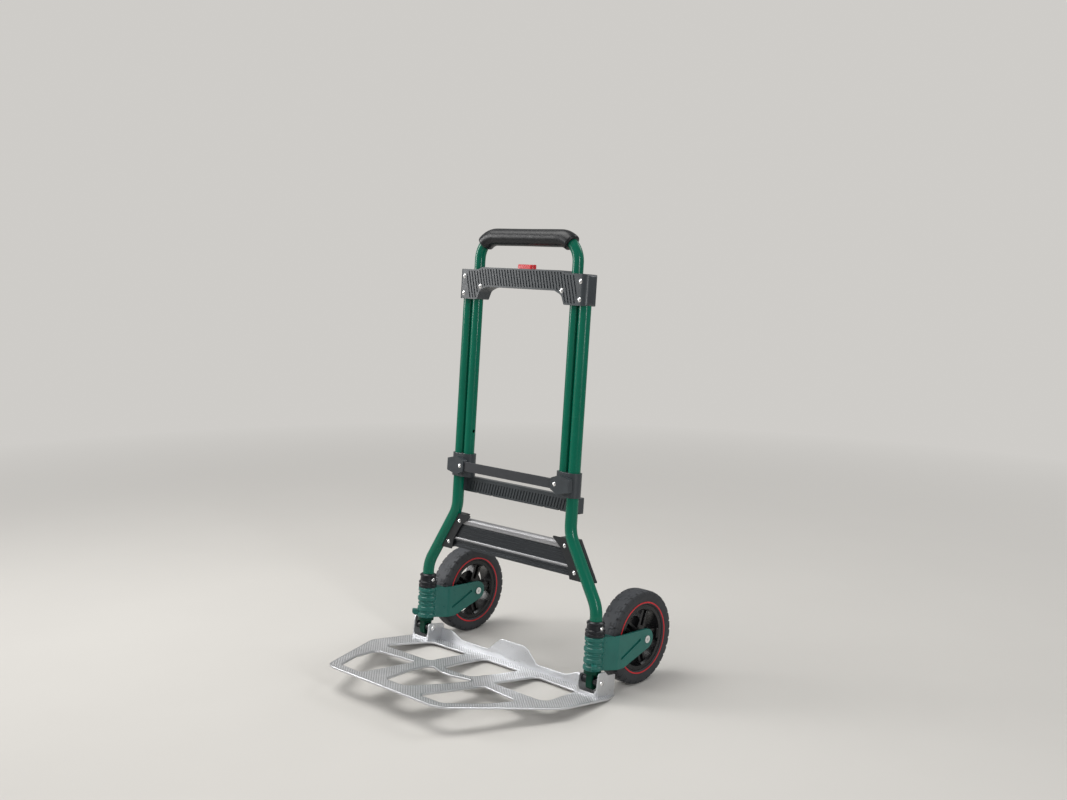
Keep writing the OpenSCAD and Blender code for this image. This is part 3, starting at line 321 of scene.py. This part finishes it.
def bevelled(obj, width, segments, plain):
    """Rounds a piece's outward edges; plain(edge) is true for those that stay as they are."""
    obj.data.attributes.new("bevel_weight_edge", "FLOAT", "EDGE")
    bm = bmesh.new()
    bm.from_mesh(obj.data)
    layer = bm.edges.layers.float["bevel_weight_edge"]
    limit = math.radians(32)
    room = 2.6 * width  # a face narrower than this can't hold a rounded edge on both sides
    narrow = {f for f in bm.faces if f.calc_area() < room * max(e.calc_length() for e in f.edges)}
    for e in bm.edges:
        turned = len(e.link_faces) == 2 and e.calc_face_angle_signed(0.0) > limit
        held = turned and not narrow.intersection(e.link_faces) and not (plain and plain(e))
        e[layer] = 1.0 if held else 0.0
    bm.to_mesh(obj.data)
    bm.free()
    b = obj.modifiers.new("round", "BEVEL")
    b.width = width
    b.segments = segments
    b.limit_method = "WEIGHT"
    b.use_clamp_overlap = False
    b.miter_outer = "MITER_ARC"
    w = obj.modifiers.new("shade", "WEIGHTED_NORMAL")
    w.keep_sharp = True
    w.weight = 60


def dressed(node, width, segments=3, materials=None, plain=None):
    """A copy of a CAD node with its flats joined and its edges rounded as the moulded part's are."""
    src = frame["nodes"][node]
    bm = bmesh.new()
    bm.from_mesh(src.data)
    bmesh.ops.remove_doubles(bm, verts=bm.verts, dist=3e-6)
    bmesh.ops.dissolve_degenerate(bm, edges=bm.edges, dist=2e-6)
    bmesh.ops.dissolve_limit(bm, angle_limit=math.radians(0.6), verts=bm.verts, edges=bm.edges)
    obj = finish_mesh(node + "_finished", bm, SLOTS[node], BODY[node], [node], materials=materials)
    bevelled(obj, width, segments, plain)


def between(low, high):
    """True for an edge whose ends both lie between these depths, in mm, of the truck's upright frame."""
    back = STAND.inverted()

    def test(e):
        return all(low * MM < (back @ v.co).y < high * MM for v in e.verts)

    return test


def rounded_line(corners, n):
    """Points along straight lines with round bends: corners are (a, b, radius), in mm.

    A bend takes n + 1 points. The line is open if its ends have no radius, and otherwise a closed outline."""
    out = []
    for i, (x, z, r) in enumerate(corners):
        p = Vector((x, z))
        if r == 0:
            out.append(p)
            continue
        a = (Vector(corners[i - 1][:2]) - p).normalized()
        b = (Vector(corners[(i + 1) % len(corners)][:2]) - p).normalized()
        half = a.angle(b) / 2
        centre = p + (a + b).normalized() * (r / math.sin(half))
        first = p + a * (r / math.tan(half)) - centre
        last = p + b * (r / math.tan(half)) - centre
        start = math.atan2(first.y, first.x)
        turn = (math.atan2(last.y, last.x) - start + 3 * math.pi) % (2 * math.pi) - math.pi
        for k in range(n + 1):
            t = start + turn * k / n
            out.append(centre + r * Vector((math.cos(t), math.sin(t))))
    return out


def densified(points, step):
    """The same line with points no further apart than step."""
    out = [points[0]]
    for a, b in zip(points, points[1:]):
        count = max(1, math.ceil((b - a).length / step))
        out += [a.lerp(b, k / count) for k in range(1, count + 1)]
    return out


def sweep(bm, line, radius, around):
    """Rings of verts along a line in the X-Z plane; radius is a number or a function of the ring's index."""
    rings = []
    for i, p in enumerate(line):
        a = line[max(0, i - 1)]
        b = line[min(len(line) - 1, i + 1)]
        t = (b - a).normalized()
        side = Vector((-t.y, t.x))
        r = radius(i) if callable(radius) else radius
        ring = []
        for k in range(around):
            w = 2 * math.pi * k / around
            q = p + side * (r * math.cos(w))
            ring.append(bm.verts.new((q.x * MM, r * math.sin(w) * MM, q.y * MM)))
        rings.append(ring)
    return rings


def skin(bm, rings, flip=False):
    """Quads between neighbouring rings."""
    for a, b in zip(rings, rings[1:]):
        n = len(a)
        for k in range(n):
            quad = (a[k], a[(k + 1) % n], b[(k + 1) % n], b[k])
            bm.faces.new(quad[::-1] if flip else quad)


def hollow_tube(bm, line, outer, inner, around):
    """A tube along a line, closed at both ends; outer is as sweep's radius."""
    out = sweep(bm, line, outer, around)
    inn = sweep(bm, line, inner, around)
    skin(bm, out)
    skin(bm, inn, flip=True)
    skin(bm, [out[0], inn[0]], flip=True)
    skin(bm, [out[-1], inn[-1]])
    bmesh.ops.recalc_face_normals(bm, faces=bm.faces)


# ---------------------------------------------------------------- tubes and grip
def frame_tube(side, name):
    bm = bmesh.new()
    corners = [
        (FOOT_X, FRAME_LOW, 0), (FOOT_X, SPLAY_LOW, SPLAY_BEND),
        (FRAME_X, SPLAY_HIGH, SPLAY_BEND), (FRAME_X, FRAME_TOP, 0),
    ]
    line = [Vector((side * p.x, p.y)) for p in rounded_line(corners, 14)]
    hollow_tube(bm, densified(line, TUBE_STEP), FRAME_R, FRAME_R - WALL, TUBE_SIDES)
    finish_mesh(name + "_smooth", bm, "green_paint", "frame", [name], STAND)


frame_tube(1, "frame_tube_right")
frame_tube(-1, "frame_tube_left")

HANDLE = [
    (-HANDLE_X, HANDLE_LOW, 0), (-HANDLE_X, HANDLE_TOP, HANDLE_BEND),
    (HANDLE_X, HANDLE_TOP, HANDLE_BEND), (HANDLE_X, HANDLE_LOW, 0),
]


def handle_tube():
    """The U-shaped tube, with the holes in its inner sides that the lock's slides spring into."""
    hole_x, hole_heights, hole_r, hole_depth = 113, (722, 432), 3.3 * MM, 12 * MM
    bm = bmesh.new()
    line = densified(rounded_line(HANDLE, 20), TUBE_STEP)
    hollow_tube(bm, line, HANDLE_R, HANDLE_R - WALL, TUBE_SIDES)
    obj = finish_mesh("handle_tube_smooth", bm, "green_paint", "handle", ["handle_tube"], STAND)
    cutter = bmesh.new()
    for side in (-1, 1):
        for z in hole_heights:
            place = Matrix.Translation((side * hole_x * MM, 0, z * MM)) @ Matrix.Rotation(math.pi / 2, 4, "Y")
            bmesh.ops.create_cone(cutter, cap_ends=True, segments=28, radius1=hole_r, radius2=hole_r,
                                  depth=hole_depth, matrix=place)
    cutter.transform(STAND)
    me = bpy.data.meshes.new("lock_hole_tool")
    cutter.to_mesh(me)
    cutter.free()
    tool = bpy.data.objects.new("lock_hole_tool", me)
    bpy.context.scene.collection.objects.link(tool)
    b = obj.modifiers.new("holes", "BOOLEAN")
    b.object = tool
    b.operation = "DIFFERENCE"
    b.solver = "EXACT"
    bpy.context.view_layer.update()
    baked = bpy.data.meshes.new_from_object(obj.evaluated_get(bpy.context.evaluated_depsgraph_get()))
    obj.modifiers.clear()
    obj.data = baked
    bpy.data.objects.remove(tool)
    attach(obj, "handle")


handle_tube()


def foam_grip():
    """A foam sleeve round the handle's top: full in the middle, eased at both ends."""
    left, right = math.radians(48), math.radians(38)  # how far it runs into each of the handle's bends
    end_r, swell, ease_length = 13.6, 2.2, 3.2
    wave, wave_length = 0.12, 23.0
    straight_x = HANDLE_X - HANDLE_BEND
    bend_z = HANDLE_TOP - HANDLE_BEND
    slack = 0.3
    lowest_x = -straight_x - HANDLE_BEND * math.sin(left) - slack
    highest_x = straight_x + HANDLE_BEND * math.sin(right) + slack
    keep = [
        p for p in rounded_line(HANDLE, 40)
        if lowest_x <= p.x <= highest_x
        and p.y > bend_z + HANDLE_BEND * math.cos(left if p.x < 0 else right) - slack
    ]
    line = densified(keep, 2.2)
    run = [0.0]
    for a, b in zip(line, line[1:]):
        run.append(run[-1] + (b - a).length)

    def radius(i):
        end = min(run[i], run[-1] - run[i])
        ease = 1 - max(0.0, 1 - end / ease_length) ** 2
        return end_r + swell * math.sqrt(max(0.0, ease)) + wave * math.sin(run[i] / wave_length)

    bm = bmesh.new()
    hollow_tube(bm, line, radius, HANDLE_R + 0.12, 64)
    # the skin is slightly uneven, front and back; the bore along the straight stays true
    grip_r, within_skin, unevenness = 0.016, 0.0125, 0.00018
    for v in bm.verts:
        off = v.co - Vector((v.co.x, 0, HANDLE_TOP * MM))
        if off.length > within_skin or abs(v.co.x) > straight_x * MM:
            v.co += Vector((0, 1, 0)) * v.co.y / grip_r * noise.noise(v.co * 60) * unevenness
    grip = finish_mesh("foam_grip_soft", bm, "foam", "handle", ["foam_grip"], STAND, 60)


foam_grip()


# ---------------------------------------------------------------- moulded parts and the slider's bar
# each with the width, in metres, of its rounded edges
dressed("bridge_rear_shell", 0.0008)
for stem, width, looks in (
    ("slider_bracket", 0.0009, None),
    ("slider_cap", 0.0010, None),
    ("panel_cap", 0.0007, [MAT["cap_plastic"]]),
    ("foot_block", 0.0006, None),
    ("wheel_arm", 0.0007, None),
    ("rim", 0.0008, [MAT["rim_plastic"]]),
):
    for hand in ("_left", "_right"):
        dressed(stem + hand, width, materials=looks)
dressed("release_button", 0.0006)
# these two keep the edges of the slanting grooves in their faces sharp
dressed("bridge_front_shell", 0.0007, plain=between(-17.01, -15.69))
dressed("cross_member", 0.0006, plain=between(11.59, 12.91))
dressed("slider_bar", 0.0004, 2, materials=[MAT["bar_anodised"]])


# ---------------------------------------------------------------- panel
def panel():
    """The panel's extrusion: its section in Y and Z drawn out to ends that lie along the tubes."""
    section = rounded_line([
        (1.0, 204, 0.5), (13, 204, 2), (13, 263, 5), (-1, 263, 5.4), (-1, 255.6, 0.2), (-0.5, 255.3, 0.2),
        (-0.5, 254.7, 0.2), (-1, 254.4, 0.2), (-1, 251.2, 0.9), (1.6, 250.6, 0.3), (1.6, 248.8, 0.4),
        (0.5, 248.2, 0.3), (0.5, 224.2, 0.4), (-0.6, 223.6, 0.5), (-1.2, 222.4, 0.8), (-1.2, 220.4, 0.8),
        (-0.2, 219.0, 0.5), (0.6, 218.6, 0.3), (1.0, 216, 0.5), (3, 214, 0.4), (3, 210, 0.4), (1.0, 209, 0.4),
    ], 5)

    inset = 29  # from a tube's centre line to the panel's end
    steps = 24

    def end(z):
        return FRAME_X + (SPLAY_HIGH - z) * (FOOT_X - FRAME_X) / (SPLAY_HIGH - SPLAY_LOW) - inset

    bm = bmesh.new()
    rings = [
        [bm.verts.new((end(z) * (2 * k / steps - 1) * MM, y * MM, z * MM)) for y, z in section]
        for k in range(steps + 1)
    ]
    skin(bm, rings)
    bm.faces.new(rings[0])
    bm.faces.new(rings[-1][::-1])
    bmesh.ops.recalc_face_normals(bm, faces=bm.faces)
    # lighter material, partly the silver finish and partly painted highlight: the rail along the top, as far
    # back as rail_y; painted highlight: the bead that stands out of the face
    rail_z, rail_y = 0.2512, 0.0065
    bead_low, bead_high, bead_y = 0.2196, 0.2238, 0.0002
    for f in bm.faces:
        c = f.calc_center_median()
        rail = c.z > rail_z and c.y < rail_y
        bead = c.y < bead_y and bead_low < c.z < bead_high
        f.material_index = 1 if rail or bead else 0
    finish_mesh("panel_extrusion", bm, "black_anodised", "frame", ["panel"], STAND, 28,
                [MAT["black_anodised"], MAT["silver_and_painted_highlight"]])


panel()


# ---------------------------------------------------------------- toe plate
def moved_in(loop, distance):
    """A closed outline moved to its left by a distance; a corner's own reach is held to twice that."""
    out = []
    count = len(loop)
    for i, p in enumerate(loop):
        a = (p - loop[i - 1]).normalized()
        b = (loop[(i + 1) % count] - p).normalized()
        t = (a + b).normalized()
        reach = distance / max(0.5, math.sqrt(max(0.0, (1 + a.dot(b)) / 2)))
        out.append(p + Vector((-t.y, t.x)) * reach)
    return out


def cleaned(corners, n, left=True):
    """A rounded outline without doubled points, run so that its material lies on its left."""
    pts = rounded_line(corners, n)
    nearest = 0.05
    pts = [p for i, p in enumerate(pts) if (p - pts[i - 1]).length > nearest]
    area = sum(a.x * b.y - b.x * a.y for a, b in zip(pts, pts[1:] + pts[:1]))
    return pts if (area > 0) == left else pts[::-1]


def sheet_metal(bm, loops, low, high, edge, rim=0, place=Matrix(), top_index=0):
    """A flat piece from low to high with rounded edges; the first loop is its outline, the rest its holes.

    Its upper face has a smooth strip as wide as rim along each edge, and the material top_index inside it."""
    steps = 4
    ends = []
    for loop in loops:
        rings = []
        for z0, sign in ((low, 1), (high, -1)):
            part = []
            for k in range(steps + 1):
                t = math.pi / 2 * k / steps
                inset = edge * (1 - math.sin(t))
                level = z0 + sign * edge * (1 - math.cos(t))
                part.append([(p, level) for p in moved_in(loop, inset)])
            rings += part if sign > 0 else part[::-1]
        if rim:
            rings.append([(p, high) for p in moved_in(loop, edge + rim)])
        made = [
            [bm.verts.new(place @ Vector((p.x * MM, p.y * MM, z * MM))) for p, z in ring]
            for ring in rings
        ]
        skin(bm, made)
        ends.append((made[0], made[-1]))
    for which, index in ((0, 0), (1, top_index)):
        flat = [pair[which] for pair in ends]
        edges = [bm.edges.get((ring[i - 1], ring[i])) for ring in flat for i in range(len(ring))]
        filled = bmesh.ops.triangle_fill(bm, edges=edges, use_beauty=True)
        for f in filled["geom"]:
            if isinstance(f, bmesh.types.BMFace):
                f.material_index = index


def mirrored(half):
    return half + [(-x, y, r) for x, y, r in reversed(half)]


def toe_plate():
    """The pressed sheet with its openings, and the walls and ears turned up along its rear edge."""
    low, top, heel = -28.6, -24.6, 0.027
    bm = bmesh.new()
    outline = mirrored([
        (142, -300, 34), (249, -108, 40), (249, 9, 6), (237, 42, 5), (188, 42, 4), (182, 27, 4),
    ])
    rear_side = [(89, -1, 12), (189, -5, 16), (208, -112, 16), (81, -110, 9)]
    front_side = [
        (87, -137, 9), (182, -150, 14), (166, -214, 60), (130, -277, 14), (74, -279, 12), (82, -200, 60),
    ]
    holes = [mirrored([(35, -119, 14), (43, -60, 60), (46, 1, 12)]),
             mirrored([(24, -265, 14), (48, -186, 60), (57, -127, 9), (12, -142, 30)])]
    for side in (1, -1):
        holes += [[(side * x, y, r) for x, y, r in hole] for hole in (rear_side, front_side)]
    loops = [cleaned(outline, 10)] + [cleaned(h, 12, False) for h in holes]
    sheet_metal(bm, loops, low, top, 1.2, rim=2.6, top_index=1)
    for v in bm.verts:
        # behind the heel the sheet's underside is level with the floor
        if v.co.y > heel + 0.0001:
            floor = low * MM + (v.co.y - heel) * math.tan(LEAN + PITCH)
            v.co.z = max(v.co.z, floor + 0.00002)

    # an outline's plane and the way that its sheet is thick: X-Z and forwards, or Y-Z and sideways
    facing = Matrix(((1, 0, 0, 0), (0, 0, -1, 0), (0, 1, 0, 0), (0, 0, 0, 1)))
    sideways = Matrix(((0, 0, 1, 0), (1, 0, 0, 0), (0, 1, 0, 0), (0, 0, 0, 1)))

    def upright(corners, place, near, far, edge):
        sheet_metal(bm, [cleaned(corners, 8)], near, far, edge, place=place)

    rear_wall = mirrored([
        (195.5, -27.0, 0), (195.5, -0.6, 0.3), (163, -0.6, 14), (135, -12.1, 26), (62, -12.1, 18),
        (32, 14.4, 24),
    ])
    upright(rear_wall, facing, -27, -23.5, 1.1)
    outer = [
        (-11, -27.0, 0), (37, -27.0, 0), (35, 13, 2), (14, 13, 1), (8, 18.8, 2), (-9, 18.8, 4), (-11, 6.8, 4),
    ]
    inner = [(-12, -27.0, 0), (37, -27.0, 0), (35, -4, 3), (30, -3, 2), (28, 8, 4), (-12, 9.5, 4)]
    foot_wall = [
        (-21.2, -27.0, 0), (21.2, -27.0, 0), (21.2, -12.6, 0.3), (19.0, -12.6, 0.3),
        (16.5, -18.6, 4), (-16.5, -18.6, 4), (-19.0, -12.6, 0.3), (-21.2, -12.6, 0.3),
    ]
    for side in (1, -1):
        for corners, a, b in ((outer, 234.5, 238), (inner, 192, 195.5)):
            near, far = (a, b) if side > 0 else (-b, -a)
            upright(corners, sideways, near, far, 0.9)
        upright([(side * (FOOT_X + x), y, r) for x, y, r in foot_wall], facing, 8, 12, 0.9)
    bmesh.ops.recalc_face_normals(bm, faces=bm.faces)
    finish_mesh("toe_plate_pressed", bm, "plate_aluminium", "toe_plate", ["toe_plate"], PLATE, 50,
                [MAT["edge_aluminium"], MAT["plate_aluminium"]])


toe_plate()


# ---------------------------------------------------------------- tyres
LUGS = 32


def step(x, low, high):
    """Rises smoothly from 0 at low to 1 at high."""
    t = min(1.0, max(0.0, (x - low) / (high - low)))
    return t * t * (3 - 2 * t)


def tyre(side, name):
    """A solid tyre: smooth walls, and lugs along both shoulders with half of an oblong engraved beside each.

    The float attribute made here is painted light: high on the tread's top, as painted highlight, and low in
    the lug gaps and engraved oblongs, as painted shade."""
    tread_r = 84
    gap_depth, mark_depth = 1.3, 0.9
    mark_x, mark_half_length, mark_half_width = 9.2, 5.2, 3.6
    half = [
        (16.0, 60.1, 0), (17.2, 60.5, 0.6), (18.45, 62.2, 1.2), (18.45, 67.2, 1.0), (18.9, 68.6, 1.5),
        (19.45, 74.0, 5), (19.3, 79.5, 4), (17.4, 83.4, 2.6), (12.5, 84.7, 6), (0, 84.95, 0),
    ]
    right = densified(rounded_line(half, 6), 1.3)
    profile = right + [Vector((-p.x, p.y)) for p in reversed(right[:-1])]
    around = LUGS * 18
    pitch = 2 * math.pi / LUGS
    bm = bmesh.new()
    painted_light_and_shade = bm.verts.layers.float.new("painted_light_and_shade")
    rings = []
    for k in range(around):
        w = 2 * math.pi * k / around
        ring = []
        for p in profile:
            x, r = p.x, p.y
            # along runs from -0.5 to 0.5 lugs with a gap at 0; the two shoulders are staggered
            shift = 0.25 if x > 0 else -0.25
            along = (w / pitch + shift) % 1.0 - 0.5
            shoulder = step(abs(x), 12.3, 13.6) * step(r, 77.6, 79.4)
            gap = (1 - step(abs(along) * pitch * tread_r, 1.2, 2.2)) * shoulder
            sink = gap_depth * gap
            if math.floor(w / pitch + shift) % 2 == 0:
                # u and v are measured from the oblong's middle, and away from its outline
                u = (along + 0.5 if along < 0 else along - 0.5) * pitch * tread_r
                v = abs(x) - mark_x
                away = abs(max(abs(u) - mark_half_length, abs(v) - mark_half_width))
                sink += mark_depth * (1 - step(away, 0.5, 1.3)) * step(r, 83, tread_r)
            tread = step(r, 81.5, tread_r) * (1 - step(abs(x), 15, 18))
            r -= sink * 0.85
            x -= math.copysign(sink * 0.5, x) if abs(x) > 13 else 0
            vert = bm.verts.new((x * side * MM, -r * math.sin(w) * MM, r * math.cos(w) * MM))
            # painted highlight on the tread's top; painted shade in the gaps and oblongs, darker the deeper
            # they sink
            vert[painted_light_and_shade] = 0.12 + 0.75 * tread * (1 - gap) - 0.75 * min(1, sink)
            ring.append(vert)
        rings.append(ring)
    skin(bm, rings + rings[:1])
    bmesh.ops.recalc_face_normals(bm, faces=bm.faces)
    place = STAND @ Matrix.Translation((side * AXLE.x, AXLE.y, AXLE.z))
    finish_mesh(name + "_moulded", bm, "tyre_rubber", BODY[name], [name], place, 50)


tyre(1, "tyre_right")
tyre(-1, "tyre_left")


# ---------------------------------------------------------------- camera, light and floor
BACKDROP = (0.62, 0.605, 0.58, 1)


def ground():
    """A wide pale floor that fades into the backdrop, for the camera only, away from the truck."""
    size = 60
    fade_from, fade_to = 0.8, 3.0
    bm = bmesh.new()
    for x, y in ((-size, -size), (size, -size), (size, size), (-size, size)):
        bm.verts.new((x, y, 0))
    bm.faces.new(bm.verts)
    me = bpy.data.meshes.new("floor")
    bm.to_mesh(me)
    bm.free()
    floor = bpy.data.objects.new("floor", me)
    bpy.context.scene.collection.objects.link(floor)
    m = Shader("pale_floor", (0.56, 0.545, 0.52), 0.75)
    m.vary_color(m.noise(0.35, 5), 0.97, 1.03)
    m.bump(m.noise(0.01, 4), 0.0002, 0.15)
    glow = m.new("ShaderNodeEmission")
    glow.inputs["Color"].default_value = BACKDROP
    spot = m.new("ShaderNodeVectorMath", operation="LENGTH")
    m.link(m.coord, spot.inputs[0])
    far = m.ramp(spot.outputs["Value"], fade_from, fade_to)
    path = m.new("ShaderNodeLightPath")
    seen = m.math("MULTIPLY", path.outputs["Is Camera Ray"], far)
    mix = m.new("ShaderNodeMixShader")
    m.link(seen, mix.inputs["Fac"])
    m.link(m.bsdf.outputs[0], mix.inputs[1])
    m.link(glow.outputs[0], mix.inputs[2])
    m.link(mix.outputs[0], m.nodes["Material Output"].inputs["Surface"])
    me.materials.append(m.mat)


def studio():
    """The world: soft light all round, while the camera sees the backdrop."""
    world = bpy.data.worlds.new("studio")
    bpy.context.scene.world = world
    world.use_nodes = True
    tree = world.node_tree
    back = tree.nodes["Background"]
    light = tree.nodes.new("ShaderNodeBackground")
    light.inputs["Color"].default_value = (1.0, 0.99, 0.97, 1)
    light.inputs["Strength"].default_value = 0.38
    back.inputs["Color"].default_value = BACKDROP
    back.inputs["Strength"].default_value = 1.0
    path = tree.nodes.new("ShaderNodeLightPath")
    mix = tree.nodes.new("ShaderNodeMixShader")
    tree.links.new(path.outputs["Is Camera Ray"], mix.inputs["Fac"])
    tree.links.new(light.outputs[0], mix.inputs[1])
    tree.links.new(back.outputs[0], mix.inputs[2])
    tree.links.new(mix.outputs[0], tree.nodes["World Output"].inputs["Surface"])


def area(name, place, target, size, power, color, spread=180):
    """A rectangular lamp at place, facing target; sizes in metres, power in watts, spread in degrees."""
    data = bpy.data.lights.new(name, "AREA")
    data.shape = "RECTANGLE"
    data.size, data.size_y = size
    data.energy = power
    data.spread = math.radians(spread)
    data.color = color
    lamp = bpy.data.objects.new(name, data)
    lamp.location = place
    aim = Vector(target) - Vector(place)
    lamp.rotation_euler = aim.to_track_quat("-Z", "Y").to_euler()
    bpy.context.scene.collection.objects.link(lamp)


ground()
studio()
area("key", (-0.9, -0.7, 2.8), (0, 0, 0.35), (1.9, 1.9), 58, (1.0, 0.99, 0.97))
area("left", (-2.3, -1.45, 1.25), (0, 0, 0.5), (0.9, 1.1), 9.5, (1.0, 0.99, 0.98), 90)
area("right", (2.5, -0.7, 1.15), (0, 0, 0.5), (0.3, 1.2), 6, (0.98, 0.99, 1.0), 90)
area("back", (0.9, 1.9, 2.2), (0, 0, 0.35), (1.2, 1.0), 16, (0.98, 0.99, 1.0))


def camera():
    """The photo's camera, as it was fitted in the truck's upright frame."""
    place = Vector((1.55298, -1.66410, 0.68739))
    right = Vector((0.73422, 0.67606, 0.06217))
    up = Vector((-0.10002, 0.01713, 0.99484))
    back = Vector((0.67150, -0.73665, 0.08019))
    data = bpy.data.cameras.new("camera")
    data.sensor_width = 36
    data.lens = 42.05
    cam = bpy.data.objects.new("camera", data)
    lean = Matrix.Rotation(-LEAN, 3, "X")
    turn = Matrix((lean @ right, lean @ up, lean @ back)).transposed().to_4x4()
    cam.matrix_world = Matrix.Translation(STAND @ place) @ turn
    bpy.context.scene.collection.objects.link(cam)
    bpy.context.scene.camera = cam


camera()
bpy.context.scene.view_settings.view_transform = "Standard"
